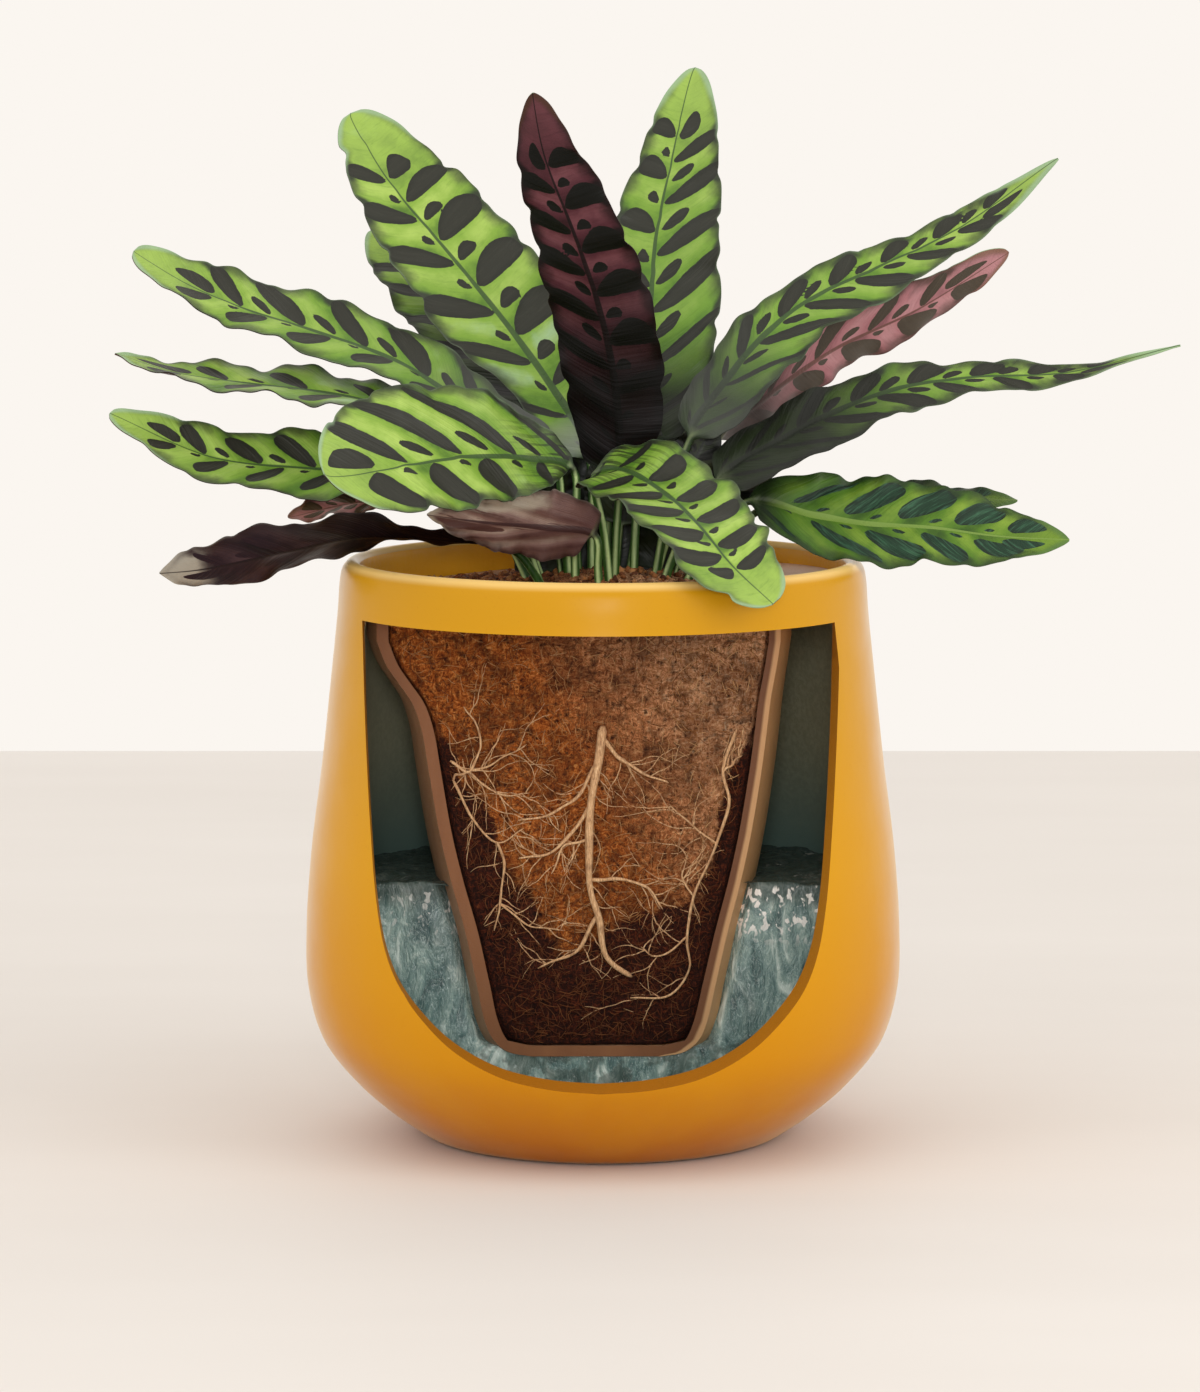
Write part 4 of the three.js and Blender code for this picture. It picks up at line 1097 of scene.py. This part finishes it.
        # Painted highlights just below the blotches of the lower blade, away from the rib; then the pale
        # tip.
        pale = self.glow * leaf["pale"] * bell((s - 0.3) / 0.2) * off_rib
        pale = pale + leaf["pale_tip"] * np.clip((s - leaf["pale_from"]) / 0.15, 0, 1)
        patch_side, place, reach, strength = leaf["patch"]
        patch = np.clip(u * patch_side * 2.2 - 0.3, 0, 1) * bell((s - place) / reach) * strength
        marks = blotch_list(leaf, self.length, self.rng)
        depth = blotch_depth(self.x, self.share, self.own_half, marks)
        values = {
            "along": s,
            "across": self.rib_mm,
            "edge": half * (1 - np.abs(u)),
            "vein": self.x - slanted(lean, np.abs(self.rib_mm), np.abs(self.share)),
            "glow": self.glow,
            "blotch": np.where(self.on_blade, depth, FAR_OUT),
            "pale": pale + patch,
            "lines": leaf["lines"] * np.clip(1.25 - s / 0.32, 0, 1),
            "deep": np.clip(leaf["deep"] + 0.55 * (0.65 - s) / 0.55, 0, 0.9),
            "shade": np.where(self.on_blade, shade * (1 - mist), (dark > 0.3) * 0.8 * (1 - self.stem)),
            "mist": np.where(self.on_blade, mist, 0),
            "stem": 1 - np.clip(s / 0.05, 0, 1),
            "round": np.broadcast_to(np.cos(self.angle), u.shape),
        }
        return {key: np.concatenate([v, v[:, ::-1]], axis=1) for key, v in values.items()}


def grow_leaf(leaf, index, faces_up, faces_under, node):
    blade = Blade({**USUAL_LEAF, **leaf}, index, random.Random(100 + index))
    rings = blade.rings()
    count = rings.shape[1]
    quads = ring_faces(len(rings), count)
    under = quads[:, 0] % count >= count // 2
    last = (len(rings) - 1) * count
    caps = []
    for k in range(count // 2 - 1):
        caps.append((k, count - 1 - k, count - 2 - k, k + 1))
        caps.append((last + k, last + k + 1, last + count - 2 - k, last + count - 1 - k))
    obj = make_object(leaf["name"] + "_blade", rings.reshape(-1, 3), [*quads, *caps])
    set_materials(obj, np.concatenate([under, np.zeros(len(caps))]))
    turn_out(obj)
    for name, numbers in blade.values().items():
        set_values(obj, name, numbers)
    smooth_shading(obj, 70)
    dress(obj, [faces_up, faces_under], node)


def grow_leaves():
    finish = {name: leaf_finish(*row) for name, row in LEAF_FACES.items()}
    looks = {
        "leaf_centre_purple": ("green", "purple", "leaf_purple_back"),
        "leaf_rose_right": ("green", "rose", "leaf_purple_back"),
        "leaf_front_mauve": ("green", "mauve", "leaf_purple_back"),
        "leaf_small_left": ("green", "rose", "leaf_purple_back"),
        "leaf_drooping_left": ("plum", "plum", "leaf_purple_back"),
        "leaf_low_right": ("deep", "purple", "leaf_deep_green"),
        "leaf_small_right": ("deep", "purple", "leaf_green"),
    }
    for index, leaf in enumerate(LEAVES):
        up, under, slot_name = looks.get(leaf["name"], ("green", "purple", "leaf_green"))
        grow_leaf(leaf, index, finish[up], finish[under], leaf["name"])
    # Dark leaves that stand in for the shade in the clump.
    for index, (name, foot, width, rib) in enumerate(SHADE_LEAVES):
        full = YOUNG_FULL if name.startswith("young") else SHEATH_FULL
        leaf = dict(SHADE_LEAF_LOOK, name=name, foot=foot, width=width, rib=rib, full=full)
        grow_leaf(leaf, 40 + index, finish["green"], finish["purple"], None)


# Outer pot


def radius_at(profile, heights):
    """A profile's radius at heights; the profile is (radius, height) rows in any order."""
    rising = profile[np.argsort(profile[:, 1])]
    return np.interp(heights, rising[:, 1], rising[:, 0])


def wall_depth(profile, line):
    """How far in front of the axis the wall stands at (x, z) points on it, as a negative Y."""
    return -np.sqrt(np.maximum(radius_at(profile, line[:, 1]) ** 2 - line[:, 0] ** 2, NEAREST_WALL**2))


def window_tool(outside, inside):
    """The window's cutter, narrower towards the back at the right and below, so that the cut edge shows."""
    right = flat_line(WINDOW_HALF, 90)
    inner = np.vstack([right, right[:-1][::-1] * (-1, 1)]) + (WINDOW_SHIFT, 0)
    step = np.roll(inner, -1, axis=0) - np.roll(inner, 1, axis=0)
    outward = unit(np.stack([-step[:, 1], step[:, 0]], axis=1))
    show = np.clip(outward @ CUT_EDGE_TURN, 0, 1) ** 0.7
    show *= np.clip((WINDOW_TOP - inner[:, 1]) / CUT_EDGE_FADE, 0, 1)
    outer = inner + outward * (CUT_EDGE_SHOWN * show)[:, None]
    start = wall_depth(outside, outer) - CUTTER_PAST
    end = np.maximum(wall_depth(inside, inner) + CUTTER_PAST, start + 2)
    rings = []
    for edge, depth in ((outer, WINDOW_FRONT), (outer, start), (inner, end), (inner, WINDOW_BACK)):
        rings.append(np.stack([edge[:, 0], 0 * end + depth, edge[:, 1]], axis=1))
    return loft("window", rings)


def build_outer_pot():
    outside = flat_line(POT_OUTSIDE, 92)
    lip = flat_line([POT_OUTSIDE[-1], *POT_LIP, POT_INSIDE[0]], 14)[1:-1]
    inside = flat_line(POT_INSIDE, 72)
    outline = np.vstack([[(AXIS_RADIUS, 0)], outside, lip, inside, [(AXIS_RADIUS, POT_FLOOR)]])
    pot = loft("outer_pot_glazed", [round_ring(z, r, 0, POT_TURNS) for r, z in outline])
    cut(pot, window_tool(outside, inside))
    mark_pot_faces(pot, outside, inside)
    smooth_shading(pot, 32)
    dress(pot, [glaze_finish(), inner_glaze_finish(), cut_finish()], "outer_pot")


def mark_pot_faces(pot, outside, inside):
    """Outer glaze 0, inner wall 1, cut edge 2."""
    x, y, z = (read_vectors(pot.data.polygons, "center") / MM).T
    r = np.hypot(x, y)
    off_outside = radius_at(outside, z) - r
    off_inside = r - radius_at(inside, z)
    through = (off_outside > WALL_SKIN) & (off_inside > WALL_SKIN) & (z > WINDOW_LOW) & (z < WINDOW_TOP + 1)
    within = (z > POT_FLOOR / 2) & (off_inside < WALL_SKIN) & (z < LIP_START)
    set_materials(pot, np.select([through & (y < 0), within], [2, 1], 0))


# Inner pot


def insert_line(grow, steps):
    """(height, radius, shift) of fine rings up the inner pot's outside."""
    return smooth_line(INSERT_OUTSIDE, steps) + (0, grow, 0)


def insert_at(height):
    """The outside's radius and shift at a height."""
    heights, radii, shifts = zip(*INSERT_OUTSIDE)
    return np.interp(height, heights, radii), np.interp(height, heights, shifts)


def stand(name, rows, x, y):
    """A round post at (x, y), through rows of (height, radius)."""
    return loft(name, [round_ring(z, r, 0, FOOT_TURNS) + (x, y, 0) for z, r in rows])


def build_insert():
    rings = round_rings(insert_line(0, 70), INSERT_TURNS)
    rim = INSERT_TOP_RADIUS - INSERT_WALL
    under_plate = PLATE_TOP - PLATE_THICKNESS
    rings += round_rings([
        (under_plate, INSERT_TOP_RADIUS, INSERT_TOP_SHIFT),
        (under_plate, PLATE_RADIUS - 0.5, 0),
        (under_plate + 0.5, PLATE_RADIUS, 0),
        (PLATE_TOP - 0.6, PLATE_RADIUS, 0),
        (PLATE_TOP, PLATE_RADIUS - 0.6, 0),
        (PLATE_TOP, rim + 0.8, INSERT_TOP_SHIFT),
        (PLATE_TOP - 0.8, rim, INSERT_TOP_SHIFT),
    ], INSERT_TURNS, RIM_TILT)
    floor = INSERT_BASE + INSERT_WALL
    inner = insert_line(-INSERT_WALL, 60)
    rings += round_rings(inner[inner[:, 0] > floor + 1][::-1], INSERT_TURNS)
    rings.append(round_ring(floor, SOIL_BASE_RADIUS + 1, BASE_SHIFT, INSERT_TURNS))
    insert = loft("inner_pot_clay", rings)
    cut(insert, front_block(SECTION_Y, WINDOW_TOP + CUTTER_PAST))
    low = POT_FLOOR + GAP
    foot = [(low, FOOT_RADIUS - 0.8), (low + 0.8, FOOT_RADIUS), (INSERT_BASE + INSERT_WALL / 2, FOOT_RADIUS)]
    for x, y in FOOT_PLACES:
        cut(insert, stand("foot", foot, x, y), "UNION")
    mark_insert_faces(insert)
    smooth_shading(insert, 30)
    # The skin's right colour is a painted highlight; the cut face's right colour is painted shade, and its
    # edge colour a painted highlight.
    skin = clay_finish("clay_skin", (206, 160, 126), (150, 106, 76), 0.4, (248, 190, 130))
    section = clay_finish("clay_section", (152, 100, 60), (118, 70, 38), 0.6, (104, 60, 30), (214, 166, 116))
    plate = clay_finish("clay_plate", (214, 172, 140), (186, 142, 108), 0.55)
    dress(insert, [skin, section, plate], "inner_pot")


def mark_insert_faces(insert):
    """Skin 0, cut face 1, upper face of the plate 2."""
    centre = read_vectors(insert.data.polygons, "center") / MM
    normal = read_vectors(insert.data.polygons, "normal")
    section = (normal[:, 1] < -0.9) & (np.abs(centre[:, 1] - SECTION_Y) < 0.3)
    plate = (normal[:, 2] > 0.8) & (centre[:, 2] > PLATE_TOP - 8)
    set_materials(insert, np.select([section, plate], [1, 2], 0))


# Soil


def soil_top(x, y):
    return SOIL_EDGE_TOP + SOIL_SLOPE * x + MOUND_HEIGHT * np.exp(-(x * x + y * y) / (2 * MOUND_SPREAD**2))


def build_soil():
    fine = insert_line(-INSERT_WALL - SOIL_SIDE_GAP, 50)
    base = [(INSERT_BASE + INSERT_WALL + GAP, SOIL_BASE_RADIUS, BASE_SHIFT), (39, 39.5, BASE_SHIFT)]
    rings = round_rings([*base, *fine[fine[:, 0] > 45]], SOIL_TURNS)
    rim = INSERT_TOP_RADIUS - INSERT_WALL - 0.6
    for part in np.linspace(1, 0.04, 24):
        ring = round_ring(0, rim * part, INSERT_TOP_SHIFT * part, SOIL_TURNS)
        ring[:, 2] = soil_top(ring[:, 0], ring[:, 1])
        rings.append(ring)
    soil = loft("soil_coir", rings)
    cut(soil, front_block(SECTION_Y, WINDOW_TOP + CUTTER_PAST))
    places, normals = remesh(soil, SOIL_GRAIN)
    front, top = front_and_top(places, normals, 2.5, SOIL_EDGE_TOP - 8)
    rough = 0.55 * fbm(places, 7, 5) + 0.35 * fbm(places, 2.4, 4, 9.0)
    lumps = 1.9 * np.abs(fbm(places, 9, 5, 4.0)) + 0.8 * fbm(places, 3, 4, 2.0)
    places = places + normals * (front * rough * SECTION_ROUGH + top * (lumps * TOP_ROUGH - 0.7))[:, None]
    put_places(soil, places)
    x, z = places[:, 0], places[:, 2]
    set_values(soil, "wet", np.clip(0.5 + (np.interp(x, *zip(*WET_LINE)) - z) / WET_BLEND, 0, 1))
    set_values(soil, "pale", np.clip(0.5 + (x - 16) / 60 + (z - 150) / 120, 0, 1) * (z > 60))
    smooth_shading(soil)
    dress(soil, [soil_finish()], "soil")


def tube(points, radii, sides):
    """Rings of a thin tube along points, and its faces."""
    points = np.asarray(points, float)
    tangent = unit(np.gradient(points, axis=0))
    up = np.where(np.abs(tangent[:, 1:2]) > 0.9, [[1.0, 0, 0]], [[0, 1.0, 0]])
    first = unit(np.cross(tangent, up))
    second = np.cross(tangent, first)
    turn = np.linspace(0, TURN, sides, endpoint=False)[None, :, None]
    ring = first[:, None, :] * np.cos(turn) + second[:, None, :] * np.sin(turn)
    vertices = points[:, None, :] + ring * np.asarray(radii)[:, None, None]
    return vertices.reshape(-1, 3), closed_faces(len(points), sides)


def join_tubes(name, tubes, shades=None):
    vertices, faces, values = [], [], []
    offset = 0
    for i, (points, own) in enumerate(tubes):
        vertices.append(points)
        faces += [tuple(v + offset for v in face) for face in own]
        values.append(np.full(len(points), shades[i] if shades else 0.5))
        offset += len(points)
    obj = make_object(name, np.vstack(vertices), faces)
    set_values(obj, "shade", np.concatenate(values))
    smooth_shading(obj)
    return obj


def section_sides(z):
    """Left and right edge of the soil on the cut plane, at a height or at the nearest with fibres."""
    radius, shift = insert_at(min(max(z, FIBRE_LOW), FIBRE_HIGH))
    half = math.sqrt(max((radius - INSERT_WALL - SOIL_SIDE_GAP) ** 2 - SECTION_Y**2, 0))
    return shift - half, shift + half


def build_fibres():
    """Short threads that stand a little out of the cut face."""
    rng = random.Random(11)
    tubes, shades = [], []
    for _ in range(FIBRE_COUNT):
        z = rng.uniform(FIBRE_LOW, FIBRE_HIGH)
        left, right = section_sides(z)
        x = rng.uniform(left + 1, right - 1)
        turn = rng.uniform(0, TURN)
        bend = rng.uniform(-FIBRE_BEND, FIBRE_BEND)
        length = rng.uniform(*FIBRE_LENGTH)
        points = []
        px, pz = x, z
        for share in (i / FIBRE_STEPS for i in range(FIBRE_STEPS + 1)):
            lift = math.sin(math.pi * share) * rng.uniform(*FIBRE_LIFT)
            points.append((px, SECTION_Y - 0.1 - lift, pz))
            px += math.cos(turn + bend * share) * length / FIBRE_STEPS
            pz += math.sin(turn + bend * share) * length / FIBRE_STEPS
        left, right = section_sides(pz)
        if not left < px < right or not FIBRE_LOW - 1 < pz < FIBRE_HIGH + 1:
            continue
        tubes.append(tube(points, [FIBRE_RADIUS] * len(points), 3))
        wet = np.interp(x, *zip(*WET_LINE)) > z
        shade = rng.uniform(0.25, 0.9) + 0.2 * min(max((x - 10) / 50, 0), 1)
        shades.append(shade * (0.5 if wet else 1.0))
    obj = join_tubes("soil_threads", tubes, shades)
    dress(obj, [fibre_finish()], None)


def build_crumbs():
    """Loose crumbs on the top of the soil."""
    rng = random.Random(5)
    work = bmesh.new()
    shade = work.verts.layers.float.new("shade")
    for _ in range(CRUMB_COUNT):
        turn = rng.uniform(0, TURN)
        reach = (INSERT_TOP_RADIUS - INSERT_WALL - 1) * math.sqrt(rng.random())
        x = INSERT_TOP_SHIFT + math.cos(turn) * reach
        y = math.sin(turn) * reach
        size = rng.uniform(*CRUMB_SIZE)
        ball = bmesh.ops.create_icosphere(work, subdivisions=1, radius=size * MM)["verts"]
        middle = Vector((x, y, float(soil_top(x, y)) + size * 0.5)) * MM
        colour = rng.uniform(0.05, 0.75)
        for vertex in ball:
            vertex.co = Vector(c * rng.uniform(*CRUMB_UNEVEN) for c in vertex.co) + middle
            vertex[shade] = colour
    mesh = bpy.data.meshes.new("soil_crumbs")
    work.to_mesh(mesh)
    work.free()
    obj = add_object("soil_crumbs", mesh)
    smooth_shading(obj)
    dress(obj, [fibre_finish()], None)


# Roots


def root_line(points, depth, rng):
    """A fine line through (x, z) points on the cut face, swaying a little."""
    count = len(points) * 6
    line = smooth_line([(x, depth, z) for x, z in points], count)
    phase = rng.uniform(0, 6.28)
    share = np.linspace(0, 1, count)
    sway = ROOT_SWAY * np.sin(math.pi * share)
    line[:, 0] += sway * np.sin(share * len(points) * 2.2 + phase)
    line[:, 2] += sway * np.cos(share * len(points) * 3.1 + phase)
    return line


def rootlet(start, turn, length, rng):
    """A hair root from a point on the cut face."""
    steps = max(int(length / ROOTLET_STEP), 4)
    x, _, z = start
    points = []
    for i in range(steps + 1):
        points.append((x, SECTION_Y - 0.4 - 0.35 * math.sin(i * 0.9 + turn), z))
        turn += rng.uniform(-ROOTLET_WANDER, ROOTLET_WANDER)
        x += math.cos(turn) * length / steps
        z += math.sin(turn) * length / steps
        left, right = section_sides(z)
        if not left + 1 < x < right - 1 or not FIBRE_LOW + 1 < z < FIBRE_HIGH - 1:
            break
    return np.array(points)


def hair_roots(line, rng):
    """Tubes of the hair roots along a root, some of them forked."""
    tubes = []
    for _ in range(ROOTLETS_PER_ROOT):
        at = rng.randrange(2, len(line) - 1)
        step = line[at] - line[at - 1]
        turn = math.atan2(step[2], step[0]) + rng.choice((-1, 1)) * rng.uniform(*ROOTLET_ANGLE)
        hair = rootlet(line[at], turn, rng.uniform(*ROOTLET_LENGTH), rng)
        if len(hair) > 3:
            tubes.append(tube(hair, np.linspace(0.26, 0.1, len(hair)), 5))
            if rng.random() < FORKED_SHARE:
                fork = rng.randrange(1, len(hair) - 1)
                finer = rootlet(hair[fork], turn + rng.uniform(-1, 1), FINER_LENGTH, rng)
                if len(finer) > 3:
                    tubes.append(tube(finer, np.linspace(0.16, 0.08, len(finer)), 4))
    return tubes


def build_roots():
    bark = root_finish()
    for index, (name, branches) in enumerate(ROOTS.items()):
        rng = random.Random(31 + index)
        tubes = []
        for points, start_radius, end_radius in branches:
            line = root_line(points, SECTION_Y - GAP - start_radius * 0.8, rng)
            share = np.linspace(0, 1, len(line))
            radii = start_radius + (end_radius - start_radius) * share
            radii = radii * (1 + 0.13 * np.sin(share * 21 + index) * np.sin(math.pi * share))
            radii[0] *= 0.5
            radii[-1] *= 0.4
            tubes += [tube(line, radii, 8), *hair_roots(line, rng)]
        dress(join_tubes(name + "_fine", tubes), [bark], name)


# Water


def build_water():
    inside = flat_line(POT_INSIDE, 60)[::-1]
    inside = inside[inside[:, 1] < WATER_LEVEL - 2]
    rows = [(POT_FLOOR + GAP, AXIS_RADIUS, 0), *((z + GAP, r - 2 * GAP, 0) for r, z in inside)]
    rows += [(WATER_LEVEL, POOL_RADIUS * part, 0) for part in np.linspace(1, 0.3, 20)]
    pool = loft("water_body", round_rings(rows, POT_TURNS))
    cut(pool, loft("clear", round_rings(insert_line(-WATER_TUCK, 60) + (WATER_TUCK, 0, 0), INSERT_TURNS)))
    for x, y in FOOT_PLACES:
        cut(pool, stand("hole", [(2, FOOT_RADIUS + GAP), (36, FOOT_RADIUS + GAP)], x, y))
    cut(pool, front_block(SECTION_Y + WATER_BACK, WINDOW_TOP))
    places, normals = remesh(pool, WATER_GRAIN)
    front, top = front_and_top(places, normals, 3, WATER_LEVEL - 4)
    wave = fbm(places * (1, 1, 0.5), 9, 3)
    chop = fbm(places, 14, 3, 5.0) * 1.6 + 0.5 * fbm(places, 5, 2, 8.0)
    places = places + normals * (front * wave * WATER_WAVE)[:, None]
    radius, shift = insert_at(places[:, 2])
    beside = np.abs(places[:, 0] - shift) - np.sqrt(radius**2 - SECTION_Y**2)
    places[:, 1] += front * WATER_HOLLOW * bell(beside / WATER_HOLLOW_REACH) * (places[:, 2] > 38)
    places[:, 2] += top * chop
    put_places(pool, places)
    smooth_shading(pool)
    dress(pool, [water_finish()], "water")


# Stage


def build_floor():
    wedge = math.pi / FLOOR_SIDES
    corner = FLOOR_REACH / math.cos(wedge)
    turns = [wedge + k * 2 * wedge for k in range(FLOOR_SIDES)]
    outline = [(corner * math.cos(t), corner * math.sin(t), FLOOR_LEVEL) for t in turns]
    floor = make_object("floor", outline, [tuple(range(FLOOR_SIDES))])
    f = Finish("floor_paint", Specular_IOR_Level=0.2, Roughness=0.6)
    cloud = f.noise(f.stretch(f.place(), 0.3, 1, 1), 160, 3)
    floor.data.materials.append(f.done(f.mix(cloud, (230, 225, 220), (239, 235, 231))))


def build_light():
    world = bpy.data.worlds.new("studio")
    world.use_nodes = True
    background = world.node_tree.nodes["Background"]
    background.inputs["Color"].default_value = tone(*BACKDROP)
    background.inputs["Strength"].default_value = 1.0
    bpy.context.scene.world = world
    for name, place, size, power in LAMPS:
        lamp = bpy.data.lights.new(name, "AREA")
        lamp.shape = "DISK"
        lamp.size = size * MM
        lamp.energy = power
        light = add_object(name, lamp)
        light.location = Vector(place) * MM
        aim = Vector(LAMP_TARGET) * MM - light.location
        light.rotation_euler = aim.to_track_quat("-Z", "Y").to_euler()
        light.visible_camera = False


def build_camera():
    lens = bpy.data.cameras.new("camera")
    lens.lens = CAMERA_LENS
    lens.sensor_width = CAMERA_SENSOR
    lens.sensor_fit = "AUTO"
    lens.clip_start = 0.1
    lens.clip_end = 20
    camera = add_object("camera", lens)
    camera.location = Vector(CAMERA_PLACE) * MM
    camera.rotation_euler = (math.radians(90 - CAMERA_PITCH), 0, 0)
    bpy.context.scene.camera = camera
    bpy.context.scene.view_settings.view_transform = "Standard"


build_camera()
build_light()
build_floor()
build_outer_pot()
build_insert()
build_soil()
build_fibres()
build_crumbs()
build_roots()
build_water()
grow_leaves()
